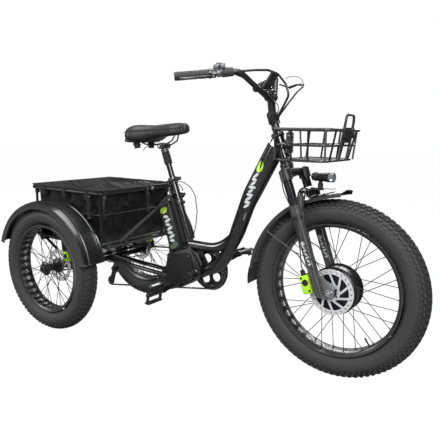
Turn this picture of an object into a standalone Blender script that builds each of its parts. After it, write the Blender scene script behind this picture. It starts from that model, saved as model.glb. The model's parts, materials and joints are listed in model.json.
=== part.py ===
"""Adult electric cargo tricycle: step-through frame, one wide wheel in front, two behind.

Metres, +X forward, +Y left, +Z up. Shapes are laid out from the rear axle line
(x = 0 there, z = 0 on the ground); the empty "layout" moves all of them so that
the origin is on the ground under the middle of the whole tricycle.
"""

import math
from types import SimpleNamespace

import bmesh
import bpy
from mathutils import Matrix, Vector

# ------------------------------------------------------------ driving dimensions
LAYOUT_X = 0.674          # rear axle line to the middle of the overall length
WHEELBASE = 1.300
HALF_TRACK = 0.3375       # middle plane of a rear wheel
TYRE_R = 0.0493           # section radius of every tyre
FRONT_R, REAR_R = 0.354, 0.3005      # outer radii of the tyres
FRONT_RIM_R, REAR_RIM_R = 0.2605, 0.2085
RIM_HALF = 0.038
FRONT_ROTOR_Y = -0.0545
REAR_ROTOR_INSET = 0.0520            # rotor inboard of the rear wheel's middle plane
HEAD_ANGLE = math.radians(70.0)
HEAD_X, HEAD_Z = 1.010, 0.970        # a point on the steering axis
FORK_OFFSET = 0.026       # stanchions ahead of the steering axis
LEG_Y = 0.082
STANCHION_R, LOWER_R = 0.0175, 0.0215
SEAT_X, SEAT_Z = 0.476, 0.731        # a point on the seat tube axis, same slope as the head
SEAT_TUBE_R, SEAT_BORE_R, POST_R = 0.0175, 0.0139, 0.0136
BB_X, BB_Z = 0.645, 0.312            # crank axis
CRANK_LEN = 0.167
CRANK_ANGLE = math.radians(212.0)    # right crank, from +X upwards
CHAIN_Y = 0.062
RING_R, COG_R = 0.0900, 0.0360
AXLE_R = 0.0075
REAR_BASKET = SimpleNamespace(back=-0.207, front=0.262, half=0.2555, floor=0.430, top=0.665)
FRONT_BASKET = SimpleNamespace(back=1.068, front=1.306, half=0.155, floor=0.852, top=0.965)
BAR_END = Vector((0.735, 0.300, 1.155))          # left half of the handlebar
BAR_BEND = Vector((0.925, 0.150, 1.180))
BAR_CLAMP = Vector((0.982, 0.036, 1.092))
BAR_R = 0.0111
STEM_PIVOT = Vector((0.9918, 0.0, 1.020))
GAP = 0.0003              # clearance between neighbouring pieces

Y = Vector((0, 1, 0))
UP = Vector((0, 0, 1))
SLOPE = Vector((-math.cos(HEAD_ANGLE), 0.0, math.sin(HEAD_ANGLE)))     # up along head and seat tube
AHEAD = Vector((math.sin(HEAD_ANGLE), 0.0, math.cos(HEAD_ANGLE)))      # square to it, forwards
SLOPED_AXES = (AHEAD, Y, SLOPE)
SIDES = ((1, "left"), (-1, "right"))
FRONT_AXLE = Vector((WHEELBASE, 0, FRONT_R))
REAR_AXLE = Vector((0, 0, REAR_R))
CRANK_AXIS = Vector((BB_X, 0, BB_Z))

# ------------------------------------------------------------------ scene set-up
for old in list(bpy.data.objects):
    bpy.data.objects.remove(old, do_unlink=True)
PARTS = bpy.data.collections.new("adult_tricycle")
bpy.context.scene.collection.children.link(PARTS)
LAYOUT = bpy.data.objects.new("layout", None)
LAYOUT.location = (-LAYOUT_X, 0.0, 0.0)
PARTS.objects.link(LAYOUT)


def finish(name, colour, roughness, metallic):
    material = bpy.data.materials.new(name)
    material.use_nodes = True
    inputs = material.node_tree.nodes["Principled BSDF"].inputs
    inputs["Base Color"].default_value = (*colour, 1.0)
    inputs["Roughness"].default_value = roughness
    inputs["Metallic"].default_value = metallic
    return material


FRAME_PAINT = finish("frame_paint", colour=(0.012, 0.012, 0.013), roughness=0.22, metallic=0.2)
FENDER_PAINT = finish("fender_gloss", colour=(0.014, 0.014, 0.015), roughness=0.15, metallic=0.1)
BLACK_METAL = finish("black_metal", colour=(0.02, 0.02, 0.022), roughness=0.38, metallic=0.8)
STEEL = finish("steel", colour=(0.55, 0.55, 0.56), roughness=0.28, metallic=1.0)
RUBBER = finish("tyre_rubber", colour=(0.02, 0.02, 0.02), roughness=0.85, metallic=0.0)
PLASTIC = finish("black_plastic", colour=(0.018, 0.018, 0.019), roughness=0.45, metallic=0.0)
LIME = finish("lime_caliper", colour=(0.45, 0.85, 0.03), roughness=0.4, metallic=0.1)
FABRIC = finish("bag_fabric", colour=(0.02, 0.02, 0.021), roughness=0.9, metallic=0.0)
VINYL = finish("saddle_vinyl", colour=(0.03, 0.03, 0.032), roughness=0.55, metallic=0.0)
LENS = finish("lamp_body", colour=(0.6, 0.62, 0.64), roughness=0.12, metallic=0.3)


# ---------------------------------------------------------- places on the tricycle
def steer_at(z):
    """Point on the steering axis."""
    return Vector((HEAD_X - (z - HEAD_Z) / math.tan(HEAD_ANGLE), 0.0, z))


def leg_at(z, y=0.0):
    """Point on the plane of the fork legs."""
    return steer_at(z) + Vector((FORK_OFFSET / math.sin(HEAD_ANGLE), y, 0.0))


def seat_at(z):
    """Point on the seat tube axis."""
    return Vector((SEAT_X - (z - SEAT_Z) / math.tan(HEAD_ANGLE), 0.0, z))


def behind_seat(z, setback, y=0.0):
    """Point set back square from the seat tube axis; z is the height on the axis."""
    return seat_at(z) - AHEAD * setback + Y * y


def rise(z0, z1):
    """Distance along the head or seat tube between two heights."""
    return (z1 - z0) / math.sin(HEAD_ANGLE)


def flipped(point):
    """The same point on the other side of the middle plane."""
    return Vector((point[0], -point[1], point[2]))


# ----------------------------------------------------------------- mesh helpers
def add(name, mesh, material, origin=(0, 0, 0)):
    """Link a finished piece, with its origin moved to the given point."""
    obj = bpy.data.objects.new(name, mesh)
    PARTS.objects.link(obj)
    mesh.materials.clear()
    mesh.materials.append(material)
    origin = Vector(origin)
    mesh.transform(Matrix.Translation(-origin))
    obj.location = origin
    obj.parent = LAYOUT
    mesh.shade_smooth()
    mesh.set_sharp_from_angle(angle=math.radians(35))
    return obj


def from_bm(bm):
    mesh = bpy.data.meshes.new("shape")
    bmesh.ops.recalc_face_normals(bm, faces=bm.faces)
    bm.to_mesh(mesh)
    bm.free()
    return mesh


def scene_object(data):
    """Temporary object, linked so that it can be evaluated."""
    obj = bpy.data.objects.new("temporary", data)
    bpy.context.scene.collection.objects.link(obj)
    return obj


def bake(obj, helpers=()):
    """Evaluated mesh of a temporary object, which is removed with its helpers."""
    graph = bpy.context.evaluated_depsgraph_get()
    mesh = bpy.data.meshes.new_from_object(obj.evaluated_get(graph))
    for temporary in (obj, *helpers):
        bpy.data.objects.remove(temporary, do_unlink=True)
    return mesh


def welded(obj, distance):
    """Temporary object baked into a bmesh without double vertices."""
    mesh = bake(obj)
    bm = bmesh.new()
    bm.from_mesh(mesh)
    bpy.data.meshes.remove(mesh)
    bmesh.ops.remove_doubles(bm, verts=bm.verts, dist=distance)
    return bm


def turn_to(direction):
    return Vector(direction).normalized().to_track_quat("Z", "Y").to_matrix().to_4x4()


def rod(start, end, radius, end_radius=None, sides=12):
    """Cylinder, or cone if end_radius is given."""
    start, end = Vector(start), Vector(end)
    bm = bmesh.new()
    bmesh.ops.create_cone(
        bm, cap_ends=True, segments=sides, radius1=radius,
        radius2=radius if end_radius is None else end_radius,
        depth=(end - start).length,
        matrix=Matrix.Translation((start + end) / 2) @ turn_to(end - start),
    )
    return from_bm(bm)


def cross_rod(at, y0, y1, radius, sides=12):
    """Cylinder along Y; y0 and y1 are measured from the given point."""
    at = Vector(at)
    return rod(at + Y * y0, at + Y * y1, radius, sides=sides)


def block(centre, size, axes=None, bevel=0.0):
    """Box; axes are the directions of its three sizes, and bevel rounds every edge."""
    bm = bmesh.new()
    bmesh.ops.create_cube(bm, size=1.0)
    bmesh.ops.scale(bm, vec=size, verts=bm.verts)
    if bevel:
        bmesh.ops.bevel(bm, geom=bm.edges, offset=bevel, segments=2, profile=0.5, affect="EDGES")
    place = Matrix.Translation(centre)
    if axes is not None:
        place = place @ Matrix([Vector(a).normalized() for a in axes]).transposed().to_4x4()
    bmesh.ops.transform(bm, matrix=place, verts=bm.verts)
    return from_bm(bm)


def flat_bar(start, end, width, height, bevel=0.0, across=Y):
    """Straight bar, its width along across and its height square to both."""
    start, end = Vector(start), Vector(end)
    length_dir = (end - start).normalized()
    width_dir = (across - length_dir * across.dot(length_dir)).normalized()
    axes = (length_dir, width_dir, length_dir.cross(width_dir))
    return block((start + end) / 2, ((end - start).length, width, height), axes, bevel)


def fillet(points, radius, steps=4, closed=False):
    """Rounds the corners of a polyline with arcs; radius is one value or one per point."""
    points = [Vector(p) for p in points]
    rounded = []
    count = len(points)
    for i, corner in enumerate(points):
        if not closed and i in (0, count - 1):
            rounded.append(corner)
            continue
        before, after = points[i - 1] - corner, points[(i + 1) % count] - corner
        length_before, length_after = before.length, after.length
        before, after = before / length_before, after / length_after
        angle = before.angle(after)
        if math.pi - angle < 0.02:
            rounded.append(corner)
            continue
        wanted = radius[i] if isinstance(radius, list) else radius
        cut = min(wanted / math.tan(angle / 2), 0.49 * length_before, 0.49 * length_after)
        arc_r = cut * math.tan(angle / 2)
        centre = corner + (before + after).normalized() * (arc_r / math.sin(angle / 2))
        first, last = corner + before * cut - centre, corner + after * cut - centre
        sweep = first.angle(last)
        for k in range(steps + 1):
            t = k / steps
            spoke = first * math.sin((1 - t) * sweep) + last * math.sin(t * sweep)
            rounded.append(centre + spoke / math.sin(sweep))
    return rounded


def curve_bm(points, closed, radii=None, **settings):
    """Bmesh of a polyline curve with the given curve settings."""
    curve = bpy.data.curves.new("polyline", "CURVE")
    for setting, value in settings.items():
        setattr(curve, setting, value)
    spline = curve.splines.new("POLY")
    spline.points.add(len(points) - 1)
    for k, point in enumerate(points):
        spline.points[k].co = (*point, 1.0)
        spline.points[k].radius = radii[k] if radii else 1.0
    spline.use_cyclic_u = closed
    return welded(scene_object(curve), 1e-6)


def pipe(points, radius, closed=False, resolution=1, radii=None, squash=1.0):
    """Round bar along a polyline; radii scale it, squash below 1 makes it narrow across Y."""
    bm = curve_bm(points, closed, radii, dimensions="3D", bevel_depth=radius,
                  bevel_resolution=resolution, use_fill_caps=True)
    bmesh.ops.scale(bm, vec=(1, squash, 1), verts=bm.verts)
    return from_bm(bm)


def plate(outline, half, centre_y=0.0):
    """Flat outline of (x, z) points, extruded to half on each side of centre_y."""
    bm = curve_bm([(x, z, 0.0) for x, z in outline], True,
                  dimensions="2D", fill_mode="BOTH", extrude=half)
    bmesh.ops.rotate(bm, verts=bm.verts, matrix=Matrix.Rotation(math.pi / 2, 3, "X"))
    bmesh.ops.translate(bm, verts=bm.verts, vec=(0, centre_y, 0))
    return from_bm(bm)


def turned(profile, centre, axis=Y, steps=32):
    """Closed profile of (radius, along axis) points, turned about the axis."""
    area = sum(a[0] * b[1] - b[0] * a[1] for a, b in zip(profile, profile[1:] + profile[:1]))
    points = profile if area < 0 else profile[::-1]
    count = len(points)
    mesh = bpy.data.meshes.new("profile")
    mesh.from_pydata([(r, 0, h) for r, h in points],
                     [(k, (k + 1) % count) for k in range(count)], [])
    obj = scene_object(mesh)
    screw = obj.modifiers.new("turn", "SCREW")
    screw.axis = "Z"
    screw.angle = 2 * math.pi
    screw.steps = screw.render_steps = steps
    screw.use_merge_vertices = True
    screw.merge_threshold = 1e-6
    bm = welded(obj, 1e-7)
    bmesh.ops.transform(bm, matrix=Matrix.Translation(centre) @ turn_to(axis), verts=bm.verts)
    return from_bm(bm)


def swept(profile, centre, start, end, steps):
    """Closed profile of (radius, y) points, swept about Y between two angles in degrees."""
    start, end = math.radians(start), math.radians(end)
    bm = bmesh.new()
    verts = [bm.verts.new((centre[0] + r * math.cos(start), y, centre[2] + r * math.sin(start)))
             for r, y in profile]
    face = bm.faces.new(verts)
    bmesh.ops.spin(
        bm, geom=[face, *face.edges, *verts], cent=centre, axis=(0, -1, 0),
        angle=end - start, steps=steps, use_duplicate=False,
    )
    return from_bm(bm)


def combine(meshes, cut=()):
    """Boolean union of meshes, then the cutters taken away."""
    base = scene_object(meshes[0])
    helpers = []
    for group, operation in ((meshes[1:], "UNION"), (cut, "DIFFERENCE")):
        for mesh in group:
            helper = scene_object(mesh)
            helpers.append(helper)
            boolean = base.modifiers.new("join", "BOOLEAN")
            boolean.operation = operation
            boolean.solver = "EXACT"
            boolean.use_hole_tolerant = True
            boolean.object = helper
    return bake(base, helpers)


def mirrored(mesh):
    """Copy reflected to the other side of the middle plane."""
    bm = bmesh.new()
    bm.from_mesh(mesh)
    bmesh.ops.scale(bm, vec=(1, -1, 1), verts=bm.verts)
    bmesh.ops.reverse_faces(bm, faces=bm.faces)
    return from_bm(bm)


def merged(meshes):
    """Loose meshes as one operand."""
    bm = bmesh.new()
    for mesh in meshes:
        bm.from_mesh(mesh)
    return from_bm(bm)


# ---------------------------------------------------------------------- wheels
TYRE_SIDES = 10
SPOKE_COUNT, SPOKE_R = 12, 0.0012        # spokes on each flange
ROTOR_HALF, ROTOR_BORE_R = 0.001, 0.0225
FRONT_ROTOR_R, REAR_ROTOR_R = 0.090, 0.080
AXLE_HALF = 0.374

# (radius, y)
MOTOR_PROFILE = [(0.0086, -0.048), (0.034, -0.048), (0.084, -0.034), (0.092, -0.028),
                 (0.092, 0.036), (0.084, 0.044), (0.034, 0.054), (0.0086, 0.054)]
# (radius, outward from the wheel's middle plane)
REAR_HUB_PROFILE = [(AXLE_R + GAP, -0.0470), (0.028, -0.0470), (0.036, -0.042), (0.036, -0.037),
                    (0.019, -0.033), (0.019, 0.022), (0.034, 0.026), (0.034, 0.031),
                    (0.020, 0.040), (AXLE_R + GAP, 0.040)]
# (flange radius, y at the flange, y at the rim), y outward on the rear wheels
FRONT_FLANGES = [(0.092, -0.026, -0.010), (0.092, 0.034, 0.010)]
REAR_FLANGES = [(0.036, -0.039, -0.012), (0.034, 0.028, 0.012)]
# (radius, y)
CASSETTE_PROFILE = [(AXLE_R + GAP, 0.038), (0.056, 0.038), (0.056, 0.042), (0.046, 0.047),
                    (0.026, 0.052), (0.024, 0.0595), (COG_R, 0.0600), (COG_R, 0.0640),
                    (0.024, 0.0645), (0.024, 0.074), (AXLE_R + GAP, 0.074)]


def tyre_mesh(centre, outer, rim):
    """Ten-sided section, cut off flat just outside the rim radius."""
    middle = outer - TYRE_R
    corner = TYRE_R / math.cos(math.pi / TYRE_SIDES)
    profile = []
    for k in range(TYRE_SIDES):
        angle = math.tau * (k + 0.5) / TYRE_SIDES
        radius = max(middle + corner * math.cos(angle), rim + 0.0017)
        profile.append((radius, TYRE_R * math.sin(angle)))
    return turned(profile, centre)


def rim_mesh(centre, rim):
    """Ring tapering inwards from the rim radius."""
    outer, inner, inner_half = rim + 0.0012, rim - 0.0140, 0.030
    return turned([(outer, -RIM_HALF), (outer, RIM_HALF),
                   (inner, inner_half), (inner, -inner_half)], centre)


def spokes(centre, rim, flanges, lean):
    """Spokes from inside each flange, leaning alternately; they stop short of the rim."""
    made = []
    for flange, hub_y, rim_y in flanges:
        for k in range(SPOKE_COUNT):
            angle = math.tau * (k + (0.5 if hub_y > 0 else 0.0)) / SPOKE_COUNT
            far = angle + lean * (1 if k % 2 == 0 else -1) * 0.45
            foot_r, tip_r = flange - 0.004, rim - 0.0160
            foot = centre + Vector((foot_r * math.cos(angle), hub_y, foot_r * math.sin(angle)))
            tip = centre + Vector((tip_r * math.cos(far), rim_y, tip_r * math.sin(far)))
            made.append(rod(foot, tip, SPOKE_R, sides=3))
    return merged(made)


def rotor_mesh(centre, radius, y):
    """Brake disc with six holes; y is measured from the centre."""
    disc = turned([(ROTOR_BORE_R, y - ROTOR_HALF), (ROTOR_BORE_R, y + ROTOR_HALF),
                   (radius, y + ROTOR_HALF), (radius, y - ROTOR_HALF)], centre, steps=24)
    holes = []
    for k in range(6):
        angle = math.tau * k / 6
        hole = centre + Vector((math.cos(angle) * radius * 0.58, y, math.sin(angle) * radius * 0.58))
        holes.append(cross_rod(hole, -0.01, 0.01, radius * 0.17, sides=6))
    return combine([disc], cut=[merged(holes)])


def build_front_wheel():
    centre = FRONT_AXLE
    add("front_tyre", tyre_mesh(centre, FRONT_R, FRONT_RIM_R), RUBBER, centre)
    add("front_rim", rim_mesh(centre, FRONT_RIM_R), BLACK_METAL, centre)
    motor = turned(MOTOR_PROFILE, centre, steps=24)
    hub = combine([motor, spokes(centre, FRONT_RIM_R, FRONT_FLANGES, lean=0.7)])
    add("front_hub_motor", hub, BLACK_METAL, centre)
    add("front_rotor", rotor_mesh(centre, FRONT_ROTOR_R, FRONT_ROTOR_Y), STEEL, centre)


def build_rear_wheel(side, name):
    centre = Vector((0, side * HALF_TRACK, REAR_R))
    add(f"rear_tyre_{name}", tyre_mesh(centre, REAR_R, REAR_RIM_R), RUBBER, centre)
    add(f"rear_rim_{name}", rim_mesh(centre, REAR_RIM_R), BLACK_METAL, centre)
    hub = turned([(r, side * y) for r, y in REAR_HUB_PROFILE], centre, steps=16)
    flanges = [(r, side * hub_y, side * rim_y) for r, hub_y, rim_y in REAR_FLANGES]
    hub = combine([hub, spokes(centre, REAR_RIM_R, flanges, lean=1.4)])
    add(f"rear_hub_{name}", hub, BLACK_METAL, centre)
    rotor = rotor_mesh(centre, REAR_ROTOR_R, -side * REAR_ROTOR_INSET)
    add(f"rear_rotor_{name}", rotor, STEEL, centre)


def build_rear_axle():
    axle = [(0.0, -AXLE_HALF), (AXLE_R, -AXLE_HALF), (AXLE_R, AXLE_HALF), (0.0, AXLE_HALF)]
    add("rear_axle", turned(axle, REAR_AXLE, steps=20), STEEL, REAR_AXLE)
    add("rear_cassette", turned(CASSETTE_PROFILE, REAR_AXLE, steps=24), STEEL, REAR_AXLE)


build_front_wheel()
for side, name in SIDES:
    build_rear_wheel(side, name)
build_rear_axle()

# ------------------------------------------------------------------- drivetrain
CRANK_INNER_Y, CRANK_OUTER_Y = 0.092, 0.106      # faces of both crank arms
PEDAL_AXLE_END_Y = 0.212
PEDAL_Y = 0.163                                  # middle of a pedal
UPPER_PULLEY = Vector((0.022, CHAIN_Y, 0.215))
LOWER_PULLEY = Vector((-0.008, CHAIN_Y, 0.140))
PULLEY_R = 0.0165
CHAIN_HALF, CHAIN_HALF_WIDTH = 0.0042, 0.0032
WINDOW_CIRCLE_R, WINDOW_R = 0.052, 0.0215
# (radius, y)
CHAINRING_PROFILE = [(0.0083, 0.0585), (0.030, 0.0585), (RING_R, 0.0600), (RING_R, 0.0660),
                     (0.103, 0.0670), (0.103, 0.0705), (0.034, 0.0705), (0.030, 0.0740),
                     (0.0083, 0.0740)]


def build_chainring():
    """Chainring and guard with five windows between its arms."""
    windows = []
    for k in range(5):
        angle = math.tau * (k + 0.5) / 5 + CRANK_ANGLE
        at = CRANK_AXIS + Vector((WINDOW_CIRCLE_R * math.cos(angle), CHAIN_Y,
                                  WINDOW_CIRCLE_R * math.sin(angle)))
        windows.append(cross_rod(at, -0.02, 0.02, WINDOW_R, sides=8))
    ring = combine([turned(CHAINRING_PROFILE, CRANK_AXIS)], cut=[merged(windows)])
    add("chainring", ring, BLACK_METAL, CRANK_AXIS)


def build_crank(side, name, angle, spindle_end_y):
    """Arm with two bosses, the pedal axle, and a spindle; returns the arm's end."""
    direction = Vector((math.cos(angle), 0, math.sin(angle)))
    end = CRANK_AXIS + direction * CRANK_LEN
    inner, outer = side * CRANK_INNER_Y, side * CRANK_OUTER_Y
    middle = Y * ((inner + outer) / 2)
    arm = combine([
        cross_rod(CRANK_AXIS, inner, outer, 0.019, sides=16),
        cross_rod(end, inner, outer, 0.0135),
        flat_bar(CRANK_AXIS + middle + direction * 0.006, end + middle - direction * 0.004,
                 CRANK_OUTER_Y - CRANK_INNER_Y - 0.001, 0.022, 0.003),
        cross_rod(end, inner + side * 0.002, side * PEDAL_AXLE_END_Y, 0.0050, sides=10),
        cross_rod(CRANK_AXIS, outer - side * 0.002, spindle_end_y, 0.0080),
    ])
    add(f"crank_{name}", arm, BLACK_METAL, CRANK_AXIS)
    return end


def build_pedal(side, name, crank_end, tilt):
    """Cage pedal: two plates along the axle, two end plates and a bored barrel."""
    centre = crank_end + Y * (side * PEDAL_Y)
    long_dir = Vector((math.cos(tilt), 0, math.sin(tilt)))
    axes = (long_dir, Y, Vector((-math.sin(tilt), 0, math.cos(tilt))))
    parts = [cross_rod(centre, -0.049, 0.049, 0.0105, sides=10)]
    for s in (-1, 1):
        parts.append(block(centre + long_dir * s * 0.040, (0.006, 0.096, 0.024), axes))
        parts.append(block(centre + Y * s * 0.043, (0.084, 0.006, 0.014), axes))
    bore = cross_rod(centre, -0.06, 0.06, 0.0058, sides=10)
    add(f"pedal_{name}", combine(parts, cut=[bore]), BLACK_METAL, centre)


def belt(circles, steps):
    """Centre line of a belt around circles (x, z, radius, turn).

    turn +1 is anticlockwise seen with x to the right and z up.
    """
    tangents = []       # (point leaving this circle, point reaching the next), as (x, z)
    for (x0, z0, r0, turn0), (x1, z1, r1, turn1) in zip(circles, circles[1:] + circles[:1]):
        dx, dz = x1 - x0, z1 - z0
        # the two radii at a tangent are parallel, so they share one unit normal
        lean = math.asin((r0 * turn0 - r1 * turn1) / math.hypot(dx, dz))
        heading = math.atan2(dz, dx) + lean
        nx, nz = math.sin(heading), -math.cos(heading)
        tangents.append(((x0 + nx * r0 * turn0, z0 + nz * r0 * turn0),
                         (x1 + nx * r1 * turn1, z1 + nz * r1 * turn1)))
    path = []
    for k, (x, z, radius, turn) in enumerate(circles):
        arrive, leave = tangents[k - 1][1], tangents[k][0]
        first = math.atan2(arrive[1] - z, arrive[0] - x)
        last = math.atan2(leave[1] - z, leave[0] - x)
        sweep = (last - first) * turn % math.tau
        count = max(2, round(steps * sweep / math.tau))
        for j in range(count + 1):
            angle = first + turn * sweep * j / count
            path.append(Vector((x + radius * math.cos(angle), CHAIN_Y,
                                z + radius * math.sin(angle))))
    return path


def build_chain():
    """Closed band of rectangular section around the chainring, cog and pulleys."""
    pulley_path_r = PULLEY_R + CHAIN_HALF + 0.0006
    path = belt([(BB_X, BB_Z, RING_R + CHAIN_HALF + 0.0010, 1),
                 (0, REAR_R, COG_R + CHAIN_HALF + 0.0010, 1),
                 (UPPER_PULLEY.x, UPPER_PULLEY.z, pulley_path_r, -1),
                 (LOWER_PULLEY.x, LOWER_PULLEY.z, pulley_path_r, 1)], 28)
    bm = bmesh.new()
    sections = []
    count = len(path)
    for k, point in enumerate(path):
        tangent = (path[(k + 1) % count] - path[k - 1]).normalized()
        normal = Vector((tangent.z, 0, -tangent.x))
        sections.append([
            bm.verts.new(point + normal * s * CHAIN_HALF + Y * (w * CHAIN_HALF_WIDTH))
            for s, w in ((-1, -1), (1, -1), (1, 1), (-1, 1))])
    for k in range(count):
        here, there = sections[k], sections[(k + 1) % count]
        for j in range(4):
            bm.faces.new((here[j], here[(j + 1) % 4], there[(j + 1) % 4], there[j]))
    add("chain", from_bm(bm), STEEL)


def build_derailleur():
    cage = []
    for offset in (-0.0065, 0.0065):
        cage.append(flat_bar(UPPER_PULLEY + Vector((0, offset, 0.010)),
                             LOWER_PULLEY + Vector((0, offset, -0.012)), 0.0022, 0.020))
    for pulley in (UPPER_PULLEY, LOWER_PULLEY):
        cage.append(cross_rod(pulley, -0.0022, 0.0022, PULLEY_R))
        cage.append(cross_rod(pulley, -0.009, 0.009, 0.0040, sides=8))
    add("derailleur_cage", combine(cage), BLACK_METAL, UPPER_PULLEY)
    body = [
        flat_bar((0.052, 0.040, 0.242), (0.022, 0.046, 0.2155), 0.012, 0.022, 0.003),
        cross_rod((0.022, 0, 0.215), 0.042, 0.0526, 0.011, sides=10),
        cross_rod((0.054, 0, 0.246), 0.0300, 0.0455, 0.010, sides=10),
    ]
    add("derailleur_body", combine(body), BLACK_METAL)


build_chainring()
right_end = build_crank(-1, "right", CRANK_ANGLE, spindle_end_y=0.0755)
left_end = build_crank(1, "left", CRANK_ANGLE + math.pi, spindle_end_y=0.0763)
build_pedal(-1, "right", right_end, math.radians(80))
build_pedal(1, "left", left_end, math.radians(8))
build_chain()
build_derailleur()

# ------------------------------------------------------------------------ frame
DOWN_TUBE = [(1.016, 0, 0.898), (0.894, 0, 0.672), (0.832, 0, 0.505), (0.752, 0, 0.354),
             (BB_X, 0, BB_Z + 0.002)]
DOWN_TUBE_FILLETS = [0, 0.5, 0.5, 0.16, 0]
DOWN_TUBE_R, DOWN_TUBE_TAPER = 0.0400, 0.36      # the share of radius lost at the crank end
UPPER_TUBE_Z = 0.434
UPPER_TUBE = [(seat_at(UPPER_TUBE_Z).x, 0, UPPER_TUBE_Z), (0.742, 0, UPPER_TUBE_Z),
              (0.836, 0, 0.512), (0.880, 0, 0.628)]
UPPER_TUBE_FILLETS = [0, 0.16, 0.16, 0]
GUSSET = [(p.x, p.z) for p in (behind_seat(0.420, 0.118), behind_seat(0.420, -0.016))]
GUSSET += [(0.668, 0.330), (0.655, 0.286), (0.560, 0.232), (0.478, 0.205), (0.452, 0.222)]
SEAT_TUBE_FOOT_Z, HEAD_FOOT_Z = 0.310, 0.818
# (radius, height): plain tube with a collar at the top
SEAT_TUBE_PROFILE = [(0.0, 0.310), (SEAT_TUBE_R, 0.310), (SEAT_TUBE_R, 0.712), (0.0225, 0.712),
                     (0.0225, 0.7375), (0.0, 0.7375)]
# (radius, height): head tube with a cup at each end
HEAD_PROFILE = [(0.0, 0.818), (0.0265, 0.818), (0.0265, 0.829), (0.0225, 0.833),
                (0.0225, 0.933), (0.0265, 0.937), (0.0265, 0.950), (0.0, 0.950)]
CLAMP_Z, CLAMP_SETBACK = 0.7240, -0.0330         # bolt of the seat clamp, ahead of the tube
RAIL_FOOT_Z, RAIL_TOP_Z = 0.452, 0.700
CASE_FOOT_Z, CASE_TOP_Z = 0.432, 0.645


def seat_stay(side):
    """Bent stay from the seat tube down to the rear subframe."""
    path = [(seat_at(0.668).x + 0.0011, side * 0.0043, 0.6681),
            (seat_at(0.660).x, side * 0.0575, 0.660),
            (0.425, side * 0.062, 0.590), (0.2760, side * 0.150, 0.432)]
    return pipe(fillet(path, 0.016, steps=2), 0.0085)


def sloped_tube(profile, foot):
    """Tube along SLOPE from a point; the profile holds (radius, height) pairs."""
    return turned([(r, rise(foot.z, z)) for r, z in profile], foot, SLOPE, steps=16)


def build_frame():
    down = fillet(DOWN_TUBE, DOWN_TUBE_FILLETS)
    taper = [1.0 - DOWN_TUBE_TAPER * k / (len(down) - 1) for k in range(len(down))]
    parts = [
        turned([(r, rise(SEAT_TUBE_FOOT_Z, z)) for r, z in SEAT_TUBE_PROFILE],
               seat_at(SEAT_TUBE_FOOT_Z), SLOPE, steps=16),
        pipe(down, DOWN_TUBE_R, radii=taper, resolution=2, squash=0.80),
        pipe(fillet(UPPER_TUBE, UPPER_TUBE_FILLETS), 0.0225, resolution=2, squash=0.93),
        turned([(r, rise(HEAD_FOOT_Z, z)) for r, z in HEAD_PROFILE],
               steer_at(HEAD_FOOT_Z), SLOPE, steps=16),
        cross_rod(CRANK_AXIS, -0.0500, 0.0500, 0.0238, sides=15),
        plate(GUSSET, 0.0420),
        # clamp lug and the stub of its bolt
        block(behind_seat(CLAMP_Z, -0.0277), (0.0266, 0.0208, 0.0150), SLOPED_AXES),
        cross_rod(behind_seat(CLAMP_Z, CLAMP_SETBACK), -0.0060, -0.0121, 0.0043, sides=8),
    ]
    for side in (-1, 1):
        parts.append(rod((0.500, side * 0.036, 0.272), (0.0925, side * 0.036, 0.2935),
                         0.0105, sides=10))
        parts.append(seat_stay(side))
    bores = [
        rod(steer_at(0.80), steer_at(0.97), 0.0149, sides=16),
        rod(seat_at(0.480), seat_at(0.760), SEAT_BORE_R, sides=16),
        cross_rod(CRANK_AXIS, -0.07, 0.07, 0.0086),
    ]
    add("frame", combine(parts, cut=bores), FRAME_PAINT)


def block_behind_seat(foot_z, top_z, setback, depth, width, bevel):
    """Block parallel to the seat tube; returns its mesh and centre."""
    centre = (behind_seat(top_z, setback) + behind_seat(foot_z, setback)) / 2
    length = (seat_at(top_z) - seat_at(foot_z)).length
    return block(centre, (depth, width, length), SLOPED_AXES, bevel), centre


def build_battery():
    rail, _ = block_behind_seat(RAIL_FOOT_Z, RAIL_TOP_Z, 0.0240, 0.0116, 0.036, 0.002)
    add("battery_rail", rail, BLACK_METAL)

    case, centre = block_behind_seat(CASE_FOOT_Z, CASE_TOP_Z, 0.0645, 0.0680, 0.084, 0.008)
    loop_foot, loop_top = CASE_TOP_Z - 0.004, CASE_TOP_Z + 0.018
    loop = [behind_seat(loop_foot, 0.045), behind_seat(loop_top, 0.045),
            behind_seat(loop_top, 0.084), behind_seat(loop_foot, 0.084)]
    handle = pipe(fillet(loop, 0.008, steps=2), 0.0050)
    add("battery_case", combine([case, handle]), PLASTIC, centre)

    lock_at = behind_seat(0.455, 0.064, -0.0423)
    lock = [cross_rod(lock_at, 0, -0.003, 0.0080),
            block(lock_at - Y * 0.0045, (0.003, 0.005, 0.011), SLOPED_AXES)]
    add("battery_lock", combine(lock), STEEL, lock_at)


def build_seat_clamp_lever():
    pin = behind_seat(CLAMP_Z, CLAMP_SETBACK, -0.0194)
    blade_at = pin - Y * 0.0074
    lever = [rod(pin - SLOPE * 0.0055, pin + SLOPE * 0.0055, 0.0067, sides=10),
             flat_bar(blade_at + AHEAD * 0.005, blade_at - AHEAD * 0.052, 0.005, 0.010, 0.0015)]
    add("seat_clamp_lever", combine(lever), STEEL, pin)


build_frame()
build_battery()
build_seat_clamp_lever()

# --------------------------------------------------------------- rear subframe
BASKET_TUBE_R, RAIL_R = 0.0075, 0.0095
RAIL_Y = 0.220
RAIL_Z = REAR_BASKET.floor - BASKET_TUBE_R - GAP - RAIL_R
CROSS_TUBE_XS = (REAR_BASKET.back - 0.006, 0.040, REAR_BASKET.front - 0.0005)
STRAP_XS, STRAP_Y = (-0.150, 0.150), 0.2690      # upright flat straps beside the basket
AXLE_PLATE_Y, AXLE_PLATE_HALF = 0.2300, 0.0030
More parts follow.
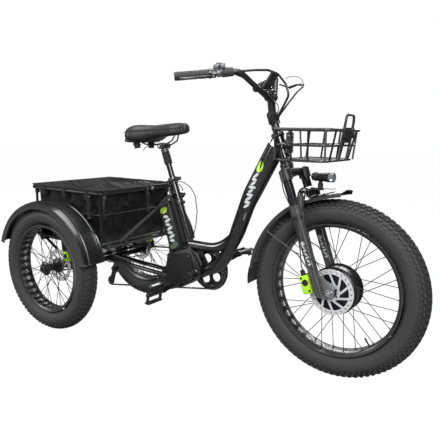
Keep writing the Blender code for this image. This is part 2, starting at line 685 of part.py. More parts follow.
# (x, z)
AXLE_PLATE = [(-0.034, 0.272), (0.092, 0.272), (0.098, 0.330), (0.060, 0.412), (-0.050, 0.412),
              (-0.040, 0.330)]
HANGER_PLATE = [(0.0655, 0.301), (0.0885, 0.303), (0.070, 0.238), (0.044, 0.2365)]
# (radius, distance from the middle plane of the tricycle)
BEARING_PROFILE = [(AXLE_R + 0.0004, 0.2105), (0.022, 0.2105), (0.025, 0.2140),
                   (0.025, 0.2267), (AXLE_R + 0.0004, 0.2267)]
FENDER_INNER_Y, FENDER_OUTER_Y = 0.2750, 0.4000
# (radius, distance from the middle plane): outer skin, then inner skin
REAR_FENDER_PROFILE = [
    (0.296, FENDER_INNER_Y), (0.3135, FENDER_INNER_Y),
    (0.3225, FENDER_INNER_Y + 0.030), (0.3225, FENDER_OUTER_Y - 0.030),
    (0.3120, FENDER_OUTER_Y), (0.286, FENDER_OUTER_Y),
    (0.286, FENDER_OUTER_Y - 0.003), (0.3095, FENDER_OUTER_Y - 0.003),
    (0.3190, FENDER_OUTER_Y - 0.031), (0.3190, FENDER_INNER_Y + 0.031),
    (0.3110, FENDER_INNER_Y + 0.003), (0.296, FENDER_INNER_Y + 0.003)]


def subframe_side(side):
    """Basket rail, axle plate, strut and two straps of one side."""
    rail_y, strap_y = side * RAIL_Y, side * STRAP_Y
    parts = [
        rod((REAR_BASKET.back - 0.014, rail_y, RAIL_Z),
            (REAR_BASKET.front + 0.003, rail_y, RAIL_Z), RAIL_R, sides=10),
        plate(AXLE_PLATE, AXLE_PLATE_HALF, side * AXLE_PLATE_Y),
        rod((REAR_BASKET.back + 0.010, rail_y, RAIL_Z), (-0.020, side * 0.2280, 0.318),
            0.0070, sides=8),
    ]
    for x in STRAP_XS:
        parts += [
            rod((x, side * 0.216, RAIL_Z), (x, strap_y, RAIL_Z - 0.002), 0.0060, sides=8),
            flat_bar((x, strap_y, RAIL_Z - 0.008), (x, strap_y, 0.572), 0.0032, 0.018),
            rod((x, strap_y, 0.560), (x, side * 0.2746, 0.560), 0.0055, sides=8),
        ]
    return parts


def build_rear_subframe():
    parts = [cross_rod((0.076, 0, 0.2990), -0.236, 0.236, 0.0127)]
    for x in CROSS_TUBE_XS:
        parts.append(cross_rod((x, 0, RAIL_Z - 0.0006), -0.2236, 0.2236, 0.0086, sides=11))
    for side in (-1, 1):
        parts += subframe_side(side)
    parts.append(plate(HANGER_PLATE, 0.0031, 0.0266))
    holes = [cross_rod(REAR_AXLE, s * 0.20, s * 0.26, 0.0110) for s in (-1, 1)]
    add("rear_subframe", combine(parts, cut=holes), FRAME_PAINT)


def build_axle_bearing(side, name):
    ring = turned([(r, side * y) for r, y in BEARING_PROFILE], REAR_AXLE, steps=20)
    add(f"axle_bearing_{name}", ring, STEEL, (0, side * 0.2186, REAR_R))


def build_rear_caliper(side, name):
    """Body and inboard mount, with a slot for the rotor."""
    centre = (0.060, side * 0.2850, 0.353)
    body = [block(centre, (0.040, 0.026, 0.044), bevel=0.004),
            block((0.072, side * 0.2545, 0.352), (0.016, 0.0426, 0.026), bevel=0.002)]
    slot = block((0.0285, side * (HALF_TRACK - REAR_ROTOR_INSET), 0.3330),
                 (0.0960, 0.0050, 0.0760))
    add(f"rear_caliper_{name}", combine(body, cut=[slot]), LIME, centre)


def build_rear_fender(side, name):
    profile = [(r, side * y) for r, y in REAR_FENDER_PROFILE]
    add(f"rear_fender_{name}", swept(profile, REAR_AXLE, 12, 161.5, 18), FENDER_PAINT)


build_rear_subframe()
for side, name in SIDES:
    build_axle_bearing(side, name)
    build_rear_caliper(side, name)
    build_rear_fender(side, name)

# ------------------------------------------------------- rear basket, bag and lid
BASKET_CORNER_R = 0.022
BASKET_LENGTH = REAR_BASKET.front - REAR_BASKET.back
BASKET_MID_X = (REAR_BASKET.back + REAR_BASKET.front) / 2
BASKET_MID_Z = (REAR_BASKET.floor + REAR_BASKET.top) / 2
LID_LENGTH, LID_WIDTH = BASKET_LENGTH + 0.024, 2 * REAR_BASKET.half + 0.020
LID_THICKNESS, LID_Z = 0.010, REAR_BASKET.top + 0.0140
LID_CROWN_TOP, LID_CROWN_UNDER = 0.012, 0.010    # bulge of the two faces at the middle


def ring_path(x0, x1, half, z, corner_r):
    """Level rectangle with rounded corners."""
    return fillet([(x1, -half, z), (x1, half, z), (x0, half, z), (x0, -half, z)],
                  corner_r, steps=3, closed=True)


def build_rear_basket_frame():
    basket = REAR_BASKET
    tubes = [pipe(ring_path(basket.back, basket.front, basket.half, z, BASKET_CORNER_R),
                  BASKET_TUBE_R, closed=True) for z in (basket.floor, basket.top)]
    inset = BASKET_CORNER_R * (1 - math.sqrt(0.5))       # puts the posts on the corner arcs
    posts = [(x, s * (basket.half - inset), 0.0062)
             for x in (basket.back + inset, basket.front - inset) for s in (-1, 1)]
    posts.append((basket.back, 0, 0.0050))
    for x, y, radius in posts:
        tubes.append(rod((x, y, basket.floor), (x, y, basket.top), radius, sides=8))
    add("rear_basket_frame", combine(tubes), BLACK_METAL)


def build_rear_basket_bag():
    """Open-topped bag with rounded upright edges."""
    width = 2 * REAR_BASKET.half
    bm = bmesh.new()
    bmesh.ops.create_cube(bm, size=1.0)
    bmesh.ops.scale(bm, vec=(BASKET_LENGTH - 0.0185, width - 0.0185, 0.214), verts=bm.verts)
    upright = [e for e in bm.edges if abs(e.verts[0].co.z - e.verts[1].co.z) > 0.1]
    bmesh.ops.bevel(bm, geom=upright, offset=0.024, segments=2, profile=0.5, affect="EDGES")
    bmesh.ops.translate(bm, verts=bm.verts, vec=(BASKET_MID_X, 0, BASKET_MID_Z - 0.003))
    cavity = block((BASKET_MID_X, 0, BASKET_MID_Z + 0.010),
                   (BASKET_LENGTH - 0.0330, width - 0.0330, 0.232))
    add("rear_basket_bag", combine([from_bm(bm)], cut=[cavity]), FABRIC)


def build_rear_basket_lid():
    """Slab crowned towards its middle, with its origin on the back edge."""
    bm = bmesh.new()
    bm.from_mesh(block((BASKET_MID_X + 0.001, 0, LID_Z), (LID_LENGTH, LID_WIDTH, LID_THICKNESS)))
    level = [e for e in bm.edges if abs(e.verts[0].co.z - e.verts[1].co.z) < 1e-4]
    bmesh.ops.subdivide_edges(bm, edges=level, cuts=3, use_grid_fill=True)
    for vert in bm.verts:
        along_x = (vert.co.x - BASKET_MID_X) / (LID_LENGTH / 2)
        along_y = vert.co.y / (LID_WIDTH / 2)
        crown = LID_CROWN_TOP if vert.co.z > LID_Z else LID_CROWN_UNDER
        vert.co.z += crown * (1 - along_x * along_x) * (1 - along_y * along_y)
    hinge = (REAR_BASKET.back - 0.0115, 0, REAR_BASKET.top + 0.0125)
    add("rear_basket_lid", from_bm(bm), FABRIC, hinge)


build_rear_basket_frame()
build_rear_basket_bag()
build_rear_basket_lid()

# ------------------------------------------------------------------ front basket
# How far the floor ring stands inside the top ring
FLOOR_BACK_INSET, FLOOR_FRONT_INSET, FLOOR_SIDE_INSET = 0.014, 0.026, 0.016
# (back inset, front inset, side inset, height, corner radius, wire radius)
FRONT_BASKET_RINGS = [
    (0.0, 0.0, 0.0, FRONT_BASKET.top, 0.030, 0.0060),
    (0.007, 0.013, 0.008, (FRONT_BASKET.floor + FRONT_BASKET.top) / 2, 0.028, 0.0045),
    (FLOOR_BACK_INSET, FLOOR_FRONT_INSET, FLOOR_SIDE_INSET, FRONT_BASKET.floor, 0.026, 0.0045),
]
UPRIGHT_R = 0.0038


def build_front_basket():
    back, front, half = FRONT_BASKET.back, FRONT_BASKET.front, FRONT_BASKET.half
    floor, top = FRONT_BASKET.floor, FRONT_BASKET.top
    floor_half = half - FLOOR_SIDE_INSET
    middle = (back + front) / 2
    wires = []
    for back_in, front_in, side_in, z, corner_r, wire_r in FRONT_BASKET_RINGS:
        path = ring_path(back + back_in, front - front_in, half - side_in, z, corner_r)
        wires.append(pipe(path, wire_r, closed=True, resolution=0))
    # uprights of the back and front walls, then of the side walls
    for t in (-0.55, 0.0, 0.55):
        for x_top, x_floor in ((back, back + FLOOR_BACK_INSET), (front, front - FLOOR_FRONT_INSET)):
            wires.append(rod((x_top, t * half * 1.2, top), (x_floor, t * floor_half * 1.2, floor),
                             UPRIGHT_R, sides=4))
    for x in (back + 0.045, middle, front - 0.045):
        for s in (-1, 1):
            wires.append(rod((x, s * half, top), (x - 0.006, s * floor_half, floor),
                             UPRIGHT_R, sides=4))
    # floor sheet, then the back plate and its two pegs towards the head tube
    wires.append(block((middle - 0.006, 0, floor - 0.0003),
                       (front - back - 0.044, 2 * half - 0.036, 0.0026)))
    wires.append(block((back + 0.0050, 0, 0.9135), (0.0040, 0.060, 0.080)))
    for z in (0.8800, 0.9180):
        wires.append(rod(steer_at(z) + Vector((0.0290, 0, 0)), (back + 0.006, 0, z),
                         0.0100, sides=8))
    add("front_basket", combine(wires), BLACK_METAL)


build_front_basket()

# -------------------------------------------------------------------------- fork
CROWN_Z = 0.792
LOWER_TOP_Z, LOWER_FOOT_Z = 0.667, 0.345
LOWER_ORIGIN = leg_at(0.600)
# (x, z)
DROPOUT = [(1.238, 0.402), (1.268, 0.416), (1.318, 0.372), (1.318, 0.340), (1.296, 0.330),
           (1.252, 0.330)]
# Right half of the arch: (height, ahead of the legs, distance from the middle plane)
ARCH = [(0.600, 0.0, 0.080), (0.660, 0.016, 0.078), (0.738, 0.044, 0.068)]
BRIDGE = leg_at(0.738) + Vector((0.044, 0, 0))           # middle of the arch
LAMP_PIN = BRIDGE + Vector((0.046, 0, 0.0200))
CALIPER_ORIGIN = (1.207, -0.060, 0.372)
# (radius, y): outer skin, then inner skin
FRONT_FENDER_PROFILE = [
    (0.352, -0.0600), (0.364, -0.0600), (0.3745, -0.0250), (0.3745, 0.0250), (0.364, 0.0600),
    (0.352, 0.0600), (0.352, 0.0575), (0.3622, 0.0575), (0.3715, 0.0240), (0.3715, -0.0240),
    (0.3622, -0.0575), (0.352, -0.0575)]


def build_fork_crown():
    """Crown, steerer and both stanchions."""
    centre = steer_at(CROWN_Z)
    parts = [rod(centre - SLOPE * 0.018, centre + SLOPE * 0.018, 0.0250, sides=16),
             block(centre + AHEAD * 0.018, (0.036, 2 * LEG_Y - 0.010, 0.030), SLOPED_AXES, 0.006),
             rod(steer_at(0.800), steer_at(0.9490), 0.0143, sides=16)]
    for side in (-1, 1):
        y = side * LEG_Y
        parts.append(rod(leg_at(CROWN_Z + 0.018, y), leg_at(CROWN_Z - 0.020, y), 0.0240, sides=16))
        parts.append(rod(leg_at(CROWN_Z, y), leg_at(0.4800, y), STANCHION_R, sides=16))
    add("fork_crown", combine(parts), BLACK_METAL, centre)


def fork_leg(side):
    """Tapered lower leg with a top collar, dropout, axle nut and axle end."""
    y = side * LEG_Y
    top = leg_at(LOWER_TOP_Z, y)
    return [
        rod(top, leg_at(LOWER_FOOT_Z, y), LOWER_R, 0.0195, sides=16),
        rod(top, leg_at(0.640, y), LOWER_R + 0.002, sides=16),
        plate(DROPOUT, 0.0040, side * 0.0700),
        cross_rod(FRONT_AXLE, side * 0.0730, side * 0.0860, 0.0105, sides=6),
        cross_rod(FRONT_AXLE, side * 0.0850, side * 0.0950, 0.0070, sides=10),
    ]


def build_fork_lowers():
    """Both lower legs, the axle, and the arch with its lamp bracket."""
    parts = fork_leg(-1) + fork_leg(1)
    parts.append(cross_rod(FRONT_AXLE, -0.0740, 0.0740, 0.0070))
    right = [leg_at(z, -y) + Vector((ahead, 0, 0)) for z, ahead, y in ARCH]
    arch = right + [flipped(p) for p in reversed(right)]
    parts.append(pipe(fillet(arch, 0.022, steps=3), 0.0095, resolution=2))
    parts.append(block(BRIDGE + Vector((0.026, 0, 0.0005)), (0.060, 0.024, 0.006)))
    for s in (-1, 1):
        parts.append(block(BRIDGE + Vector((0.046, s * 0.0082, 0.012)), (0.014, 0.0040, 0.024)))
    bores = [rod(leg_at(0.700, s * LEG_Y), leg_at(0.4200, s * LEG_Y), STANCHION_R + GAP, sides=16)
             for s in (-1, 1)]
    add("fork_lowers", combine(parts, cut=bores), FRAME_PAINT, LOWER_ORIGIN)


def build_headlight():
    def on_axis(x):
        return LAMP_PIN + Vector((x, 0, 0.0285))

    lamp = [rod(on_axis(-0.034), on_axis(0.030), 0.0150, 0.0190, sides=16),
            rod(on_axis(0.028), on_axis(0.046), 0.0195, sides=16),
            block(LAMP_PIN + UP * 0.0055, (0.012, 0.0110, 0.022))]
    add("headlight", combine(lamp), LENS, LAMP_PIN)


def build_front_caliper():
    body = block((1.204, -0.0600, 0.372), (0.046, 0.036, 0.076), SLOPED_AXES, 0.005)
    slot = block((1.245, FRONT_ROTOR_Y, 0.372), (0.100, 0.0050, 0.120), SLOPED_AXES)
    add("front_caliper", combine([body], cut=[slot]), LIME, CALIPER_ORIGIN)


def build_front_fender():
    fender = swept(FRONT_FENDER_PROFILE, FRONT_AXLE, 84, 182, 14)
    add("front_fender", fender, FENDER_PAINT, LOWER_ORIGIN)


build_fork_crown()
build_fork_lowers()
build_headlight()
build_front_caliper()
build_front_fender()

# -------------------------------------------------------------- stem and handlebar
CHEEK_Y = 0.0185                         # the two cheeks of the stem base
STEM_FOOT_Z = 0.9505
INWARD = (BAR_BEND - BAR_END).normalized()               # along the left grip, from its end
LEVER_DIR = Vector((0.62, 0.78, 0)).normalized()         # forwards and outwards on the left
CONTROL_AXES = (INWARD, UP.cross(INWARD), UP)
GRIP_BORE_R = BAR_R + GAP + 0.0002
SCREEN_AXES = (Vector((-0.80, 0.0, 0.60)), Y, Vector((0.60, 0.0, 0.80)))


def build_stem_base():
    """Quill and two cheeks, relieved between them for the arm."""
    parts = [rod(steer_at(STEM_FOOT_Z), steer_at(1.000), 0.0175, 0.0165, sides=16)]
    for side in (-1, 1):
        cheek = Y * (side * CHEEK_Y)
        parts.append(flat_bar(steer_at(0.985) + cheek, STEM_PIVOT + cheek, 0.0060, 0.030, 0.001))
        parts.append(cross_rod(STEM_PIVOT, side * 0.0155, side * 0.0215, 0.0150))
    relief = cross_rod(STEM_PIVOT, -0.0155, 0.0155, 0.0175, sides=16)
    add("stem_base", combine(parts, cut=[relief]), BLACK_METAL, steer_at(STEM_FOOT_Z))


def build_stem_arm():
    clamp = Vector((BAR_CLAMP.x, 0, BAR_CLAMP.z))
    lift = (clamp - STEM_PIVOT).normalized()
    parts = [cross_rod(STEM_PIVOT, -0.0150, 0.0150, 0.0170, sides=16),
             flat_bar(STEM_PIVOT + lift * 0.004, clamp - lift * 0.006, 0.0270, 0.026, 0.005),
             cross_rod(clamp, -0.0230, 0.0230, 0.0195, sides=16)]
    bore = cross_rod(clamp, -0.03, 0.03, BAR_R + GAP, sides=16)
    add("stem_arm", combine(parts, cut=[bore]), BLACK_METAL, STEM_PIVOT)


def build_handlebar():
    left = [BAR_CLAMP, BAR_BEND, BAR_END]
    path = [flipped(p) for p in reversed(left)] + left
    path = fillet(path, [0, 0.045, 0.022, 0.022, 0.045, 0])
    add("handlebar", pipe(path, BAR_R, resolution=2), BLACK_METAL, STEM_PIVOT)


def along(distance):
    """Point on the left half of the bar, measured from its end."""
    return BAR_END + INWARD * distance


def bar_rod(start, end, radius, end_radius=None):
    """Rod on the bar's axis between two distances from its end."""
    return rod(along(start), along(end), radius, end_radius, sides=14)


def bar_bore(start, end):
    """Cutter for a sleeve around the bar, longer than it at both ends."""
    return bar_rod(start - 0.02, end + 0.02, GRIP_BORE_R)


def add_right(name, mesh, material, origin):
    """Add the mirror image of a piece modelled on the left."""
    add(name, mirrored(mesh), material, flipped(origin))


def grip_mesh(end, end_radius):
    """Grip closed at the bar's end."""
    return combine([bar_rod(-0.0030, end, 0.0165, end_radius)],
                   cut=[bar_rod(-GAP, 0.15, GRIP_BORE_R)])


def build_grips():
    add("grip_left", grip_mesh(0.1280, 0.0158), RUBBER, along(0))
    add_right("grip_right", grip_mesh(0.0900, 0.0160), RUBBER, along(0))
    start, end = 0.0905, 0.1290
    sleeve = combine([bar_rod(start, end, 0.0168)], cut=[bar_bore(start, end)])
    add_right("throttle_sleeve", sleeve, RUBBER, along(0.110))


def build_brake_levers():
    start, end = 0.1310, 0.1530
    mount_at = along(0.142)
    lug = flat_bar(mount_at + LEVER_DIR * 0.010 - UP * 0.004,
                   mount_at + LEVER_DIR * 0.034 - UP * 0.0020, 0.024, 0.012, 0.003, INWARD)
    mount = combine([bar_rod(start, end, 0.0175), lug], cut=[bar_bore(start, end)])
    pivot = mount_at + LEVER_DIR * 0.030 - UP * 0.014
    # (along LEVER_DIR, outwards along the bar) from the pivot
    path = [pivot + LEVER_DIR * reach - INWARD * out
            for reach, out in ((0.0, 0.0), (0.012, 0.030), (0.006, 0.070), (0.012, 0.118))]
    blade = combine([pipe(fillet(path, 0.03, steps=2), 0.0046),
                     rod(pivot - UP * 0.0040, pivot + UP * 0.0040, 0.0085, sides=10)])
    # the right pieces first: add() moves the left mesh to its own origin
    add_right("brake_mount_right", mount, BLACK_METAL, mount_at)
    add_right("brake_lever_right", blade, BLACK_METAL, pivot)
    add("brake_mount_left", mount, BLACK_METAL, mount_at)
    add("brake_lever_left", blade, BLACK_METAL, pivot)


def build_shifter():
    start, end = 0.1570, 0.1760
    base = along(0.1665)
    top = base + UP * 0.0320
    body = combine([bar_rod(start, end, 0.0160),
                    block(top, (0.044, 0.034, 0.026), CONTROL_AXES, 0.004),
                    block(base + UP * 0.016, (0.017, 0.020, 0.014), CONTROL_AXES)],
                   cut=[bar_bore(start, end)])
    add_right("shifter_body", body, PLASTIC, top)
    knob = top + UP * 0.0168
    blade_at = knob + UP * 0.002
    lever = combine([rod(knob, knob + UP * 0.004, 0.0125, sides=14),
                     flat_bar(blade_at - LEVER_DIR * 0.004, blade_at - LEVER_DIR * 0.030,
                              0.010, 0.004, 0.001, INWARD)])
    add_right("shifter_lever", lever, PLASTIC, knob)


def build_display():
    """Tilted screen on a short arm and foot."""
    y = 0.0060
    screen = (0.9740, y, 1.1560)
    parts = [block(screen, (0.014, 0.052, 0.080), SCREEN_AXES, 0.004),
             rod((0.9615, y, 1.1300), (0.9800, y, 1.1160), 0.0040, sides=8),
             block((0.9820, y, 1.1152), (0.0200, 0.0260, 0.0060))]
    add("display", combine(parts), PLASTIC, screen)


build_stem_base()
build_stem_arm()
build_handlebar()
build_grips()
build_brake_levers()
build_shifter()
build_display()

# -------------------------------------------------------------------------- seat
BOOT_FOOT_Z, BOOT_LENGTH, BOOT_FOLDS = 0.800, 0.0545, 6
BOOT_RIDGE_R, BOOT_VALLEY_R, BOOT_BORE_R = 0.0182, 0.0162, 0.0146
SADDLE_BACK, SADDLE_NOSE = 0.236, 0.564
SADDLE_WIDEST = 0.26                     # share of the length, from the back
SADDLE_HALF, SADDLE_BACK_HALF, SADDLE_NOSE_HALF = 0.118, 0.078, 0.030
# Right-to-left mirrored saddle rail: (x, distance from the middle plane, z)
SADDLE_RAIL = [(0.290, 0.036, 0.9060), (0.330, 0.024, 0.8880), (0.480, 0.024, 0.8880),
               (0.530, 0.012, 0.9060)]


def build_seat_post():
    post = combine([rod(seat_at(0.560), seat_at(0.800), POST_R, sides=16)],
                   cut=[rod(seat_at(0.700), seat_at(0.83), 0.0104)])
    add("seat_post", post, STEEL, seat_at(0.737))


def build_seat_post_boot():
    """Bellows around the head of the post."""
    profile = [(BOOT_VALLEY_R if k % 2 else BOOT_RIDGE_R, BOOT_LENGTH * k / BOOT_FOLDS)
               for k in range(BOOT_FOLDS + 1)]
    profile += [(BOOT_BORE_R, BOOT_LENGTH), (BOOT_BORE_R, 0.0)]
    foot = seat_at(BOOT_FOOT_Z)
    add("seat_post_boot", turned(profile, foot, SLOPE, steps=16), RUBBER, foot)


def build_seat_post_head(head_at):
    """Inner post, collar, cross barrel and the two saddle rails."""
    parts = [rod(seat_at(0.730), seat_at(0.870), 0.0100),
             rod(seat_at(0.8530), seat_at(0.868), 0.0185),
             cross_rod(head_at + UP * 0.004, -0.030, 0.030, 0.0150)]
    for side in (-1, 1):
        path = fillet([(x, side * y, z) for x, y, z in SADDLE_RAIL], 0.02, steps=1)
        parts.append(pipe(path, 0.0036, resolution=0))
    add("seat_post_head", combine(parts), BLACK_METAL, head_at)


def saddle_half_width(t):
    """t runs from 0 at the back to 1 at the nose."""
    if t < SADDLE_WIDEST:
        round_back = math.sqrt(max(0.0, 1 - ((t - SADDLE_WIDEST) / 0.30) ** 2))
        return max(SADDLE_BACK_HALF, SADDLE_HALF * round_back)
    narrowing = 1 - min(1.0, (t - SADDLE_WIDEST) / 0.50)
    return SADDLE_NOSE_HALF + (SADDLE_HALF - SADDLE_NOSE_HALF) * narrowing ** 1.35


def build_saddle(head_at):
    """Subdivided cube shaped by station along its length."""
    bm = bmesh.new()
    bmesh.ops.create_cube(bm, size=2.0)
    bmesh.ops.subdivide_edges(bm, edges=bm.edges, cuts=2, use_grid_fill=True)
    for vert in bm.verts:
        t = (vert.co.x + 1) / 2
        # the top falls towards the nose and the sides; the underside rises to the nose
        top = 1.001 - 0.018 * t - 0.020 * abs(vert.co.y) ** 2.2 + (0.004 if t < 0.2 else 0.0)
        low = 0.914 + 0.024 * t
        if t < 0.02 or t > 0.98:         # thinner at both ends
            top -= 0.016
            low += 0.004
        vert.co = Vector((SADDLE_BACK + t * (SADDLE_NOSE - SADDLE_BACK),
                          vert.co.y * saddle_half_width(t),
                          low + (top - low) * (vert.co.z + 1) / 2))
    saddle = add("saddle", from_bm(bm), VINYL, head_at)
    soft = saddle.modifiers.new("soft", "SUBSURF")
    soft.levels = soft.render_levels = 1


SEAT_HEAD = seat_at(0.8790)
build_seat_post()
build_seat_post_boot()
build_seat_post_head(SEAT_HEAD)
build_saddle(SEAT_HEAD)
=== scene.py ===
# The looks of an adult tricycle with a hub motor: every CAD node gets a finer visual version
# with a procedural finish, and small details ride along with the nodes they belong to.
#
# Pieces are built in a layout frame in metres: x forwards from the rear axle line, y to the
# left, z up from the ground. Finished pieces move back by LAYOUT_X into the shared frame.
import json
import math
import random

import bmesh
import bpy
from mathutils import Matrix, Vector, noise

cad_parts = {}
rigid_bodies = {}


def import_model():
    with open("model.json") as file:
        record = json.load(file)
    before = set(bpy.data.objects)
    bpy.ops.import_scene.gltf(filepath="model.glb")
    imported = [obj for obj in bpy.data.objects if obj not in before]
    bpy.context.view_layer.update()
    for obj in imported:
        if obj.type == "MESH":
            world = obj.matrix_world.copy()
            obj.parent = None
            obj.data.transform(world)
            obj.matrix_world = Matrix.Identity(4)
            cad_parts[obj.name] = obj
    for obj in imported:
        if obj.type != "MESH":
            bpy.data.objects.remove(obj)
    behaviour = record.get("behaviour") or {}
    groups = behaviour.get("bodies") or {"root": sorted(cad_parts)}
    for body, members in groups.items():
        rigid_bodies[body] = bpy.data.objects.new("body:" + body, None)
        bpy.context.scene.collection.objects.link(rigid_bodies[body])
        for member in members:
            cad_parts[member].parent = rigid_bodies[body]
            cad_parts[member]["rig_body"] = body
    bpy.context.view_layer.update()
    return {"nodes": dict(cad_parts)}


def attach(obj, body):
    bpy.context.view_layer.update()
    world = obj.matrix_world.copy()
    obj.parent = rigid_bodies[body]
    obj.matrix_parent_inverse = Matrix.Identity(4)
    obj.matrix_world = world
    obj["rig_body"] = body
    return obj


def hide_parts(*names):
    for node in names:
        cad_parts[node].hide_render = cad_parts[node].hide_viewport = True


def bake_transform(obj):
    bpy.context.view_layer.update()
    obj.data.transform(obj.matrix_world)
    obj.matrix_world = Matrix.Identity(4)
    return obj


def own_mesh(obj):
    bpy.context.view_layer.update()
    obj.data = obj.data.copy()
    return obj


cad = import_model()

random.seed(7)
BODY_OF = {name: node["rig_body"] for name, node in cad["nodes"].items()}

# ------------------------------------------------------------ driving dimensions
LAYOUT_X = 0.674          # rear axle line to the middle of the overall length
WHEELBASE = 1.300
HALF_TRACK = 0.3375       # middle plane of a rear wheel
TYRE_R = 0.0493           # section radius of every tyre
FRONT_R, REAR_R = 0.354, 0.3005      # outer radii of the tyres
FRONT_RIM_R, REAR_RIM_R = 0.2605, 0.2085
HEAD_ANGLE = math.radians(70.0)      # head tube and seat tube, from level
HEAD_X, HEAD_Z = 1.010, 0.970        # a point on the steering axis
FORK_OFFSET = 0.026       # stanchions ahead of the steering axis
LEG_Y = 0.082
STANCHION_R, LOWER_R = 0.0175, 0.0215
SEAT_X, SEAT_Z = 0.476, 0.731        # a point on the seat tube axis
SEAT_TUBE_R, SEAT_BORE_R, POST_R = 0.0175, 0.0139, 0.0136
BB_X, BB_Z = 0.645, 0.312            # crank axis
CRANK_LEN = 0.167
CRANK_ANGLE = math.radians(212.0)    # right crank, from +X upwards
CHAIN_Y = 0.062
CHAIN_HALF = 0.0042       # half height of the chain
RING_R, COG_R, PULLEY_R = 0.0900, 0.0360, 0.0165
AXLE_R = 0.0075
BACK, FRONT, HALF, FLOOR_Z, TOP_Z = -0.207, 0.262, 0.2555, 0.430, 0.665     # rear basket
BASKET_BACK, BASKET_FRONT, BASKET_HALF, BASKET_FLOOR, BASKET_TOP = (        # front basket
    1.068, 1.306, 0.155, 0.852, 0.965)
BAR_END = Vector((0.735, 0.300, 1.155))
BAR_BEND = Vector((0.925, 0.150, 1.180))
BAR_CLAMP = Vector((0.982, 0.036, 1.092))
BAR_R = 0.0111
STEM_PIVOT = Vector((0.9918, 0.0, 1.020))
GAP = 0.0003              # running clearance

UP = Vector((0, 0, 1))
Y = Vector((0, 1, 0))
SLOPE = Vector((-math.cos(HEAD_ANGLE), 0.0, math.sin(HEAD_ANGLE)))     # up the head tube
AHEAD = Vector((math.sin(HEAD_ANGLE), 0.0, math.cos(HEAD_ANGLE)))      # square to it, forwards
BOTH = (-1, 1)            # right, left
SIDES = ((1, "left"), (-1, "right"))
FRONT_AXLE = Vector((WHEELBASE, 0, FRONT_R))
REAR_AXLE = Vector((0, 0, REAR_R))
CRANK_AXIS = Vector((BB_X, 0, BB_Z))


# ------------------------------------------------------------------ places
def steer_at(z):
    """Point of the steering axis at a height."""
    return Vector((HEAD_X - (z - HEAD_Z) / math.tan(HEAD_ANGLE), 0.0, z))


def leg_at(z, y=0.0):
    """Point of a fork leg's axis, or level with it."""
    return steer_at(z) + Vector((FORK_OFFSET / math.sin(HEAD_ANGLE), y, 0.0))


def seat_at(z):
    """Point of the seat tube axis at a height."""
    return Vector((SEAT_X - (z - SEAT_Z) / math.tan(HEAD_ANGLE), 0.0, z))


def behind_seat(z, back, y=0.0):
    """Point square to the seat tube axis at height z: back from it, and y to the left."""
    return seat_at(z) - AHEAD * back + Vector((0, y, 0))


def rise(low, high):
    """Distance along the head or seat tube between two heights."""
    return (high - low) / math.sin(HEAD_ANGLE)


def polar(centre, radius, angle, y):
    """Point round an axis along Y, the angle from +X upwards."""
    return Vector((centre[0] + radius * math.cos(angle), centre[1] + y,
                   centre[2] + radius * math.sin(angle)))


def on_side(point, side):
    """The point as given for side 1, reflected to the right for side -1."""
    return Vector((point.x, side * point.y, point.z))


def xz(points):
    return [(p.x, p.z) for p in map(Vector, points)]


# ------------------------------------------------------------------ mesh helpers
def link(data, name="shape"):
    made = bpy.data.objects.new(name, data)
    bpy.context.scene.collection.objects.link(made)
    return made


def baked(source):
    """Mesh of an object with its modifiers applied; the object goes."""
    graph = bpy.context.evaluated_depsgraph_get()
    mesh = bpy.data.meshes.new_from_object(source.evaluated_get(graph))
    bpy.data.objects.remove(source, do_unlink=True)
    return mesh


def welded(mesh, distance):
    """BMesh of a temporary mesh, with coincident points joined."""
    bm = bmesh.new()
    bm.from_mesh(mesh)
    bpy.data.meshes.remove(mesh)
    bmesh.ops.remove_doubles(bm, verts=bm.verts, dist=distance)
    return bm


def from_bm(bm):
    mesh = bpy.data.meshes.new("shape")
    bmesh.ops.recalc_face_normals(bm, faces=bm.faces)
    bm.to_mesh(mesh)
    bm.free()
    return mesh


def turn_to(direction):
    return Vector(direction).normalized().to_track_quat("Z", "Y").to_matrix().to_4x4()


def rod(start, end, radius, end_radius=None, sides=28):
    """Cylinder or cone between two points."""
    start, end = Vector(start), Vector(end)
    bm = bmesh.new()
    bmesh.ops.create_cone(
        bm, cap_ends=True, segments=sides, radius1=radius,
        radius2=radius if end_radius is None else end_radius, depth=(end - start).length,
        matrix=Matrix.Translation((start + end) / 2) @ turn_to(end - start))
    return from_bm(bm)


def pin(centre, axis, start, end, radius, end_radius=None, sides=28):
    """Rod along an axis, between two distances from the centre."""
    centre = Vector(centre)
    return rod(centre + axis * start, centre + axis * end, radius, end_radius, sides)


def block(centre, size, bevel=0.0, axes=None):
    """Box; axes are its three directions, and bevel rounds every edge."""
    bm = bmesh.new()
    bmesh.ops.create_cube(bm, size=1.0)
    bmesh.ops.scale(bm, vec=size, verts=bm.verts)
    if bevel:
        bmesh.ops.bevel(bm, geom=bm.edges, offset=bevel, segments=2, profile=0.5,
                        affect="EDGES")
    place = Matrix.Translation(centre)
    if axes is not None:
        place = place @ Matrix([Vector(a).normalized() for a in axes]).transposed().to_4x4()
    bmesh.ops.transform(bm, matrix=place, verts=bm.verts)
    return from_bm(bm)


def sloped(centre, size, bevel=0.0):
    """Box lying square to the head and seat tubes."""
    return block(centre, size, bevel, (AHEAD, Y, SLOPE))


def bar(start, end, width, height, bevel=0.0, side=Y):
    """Straight bar, width across along side and height square to both."""
    start, end = Vector(start), Vector(end)
    along = (end - start).normalized()
    across = (Vector(side) - along * Vector(side).dot(along)).normalized()
    return block((start + end) / 2, ((end - start).length, width, height), bevel,
                 (along, across, along.cross(across)))


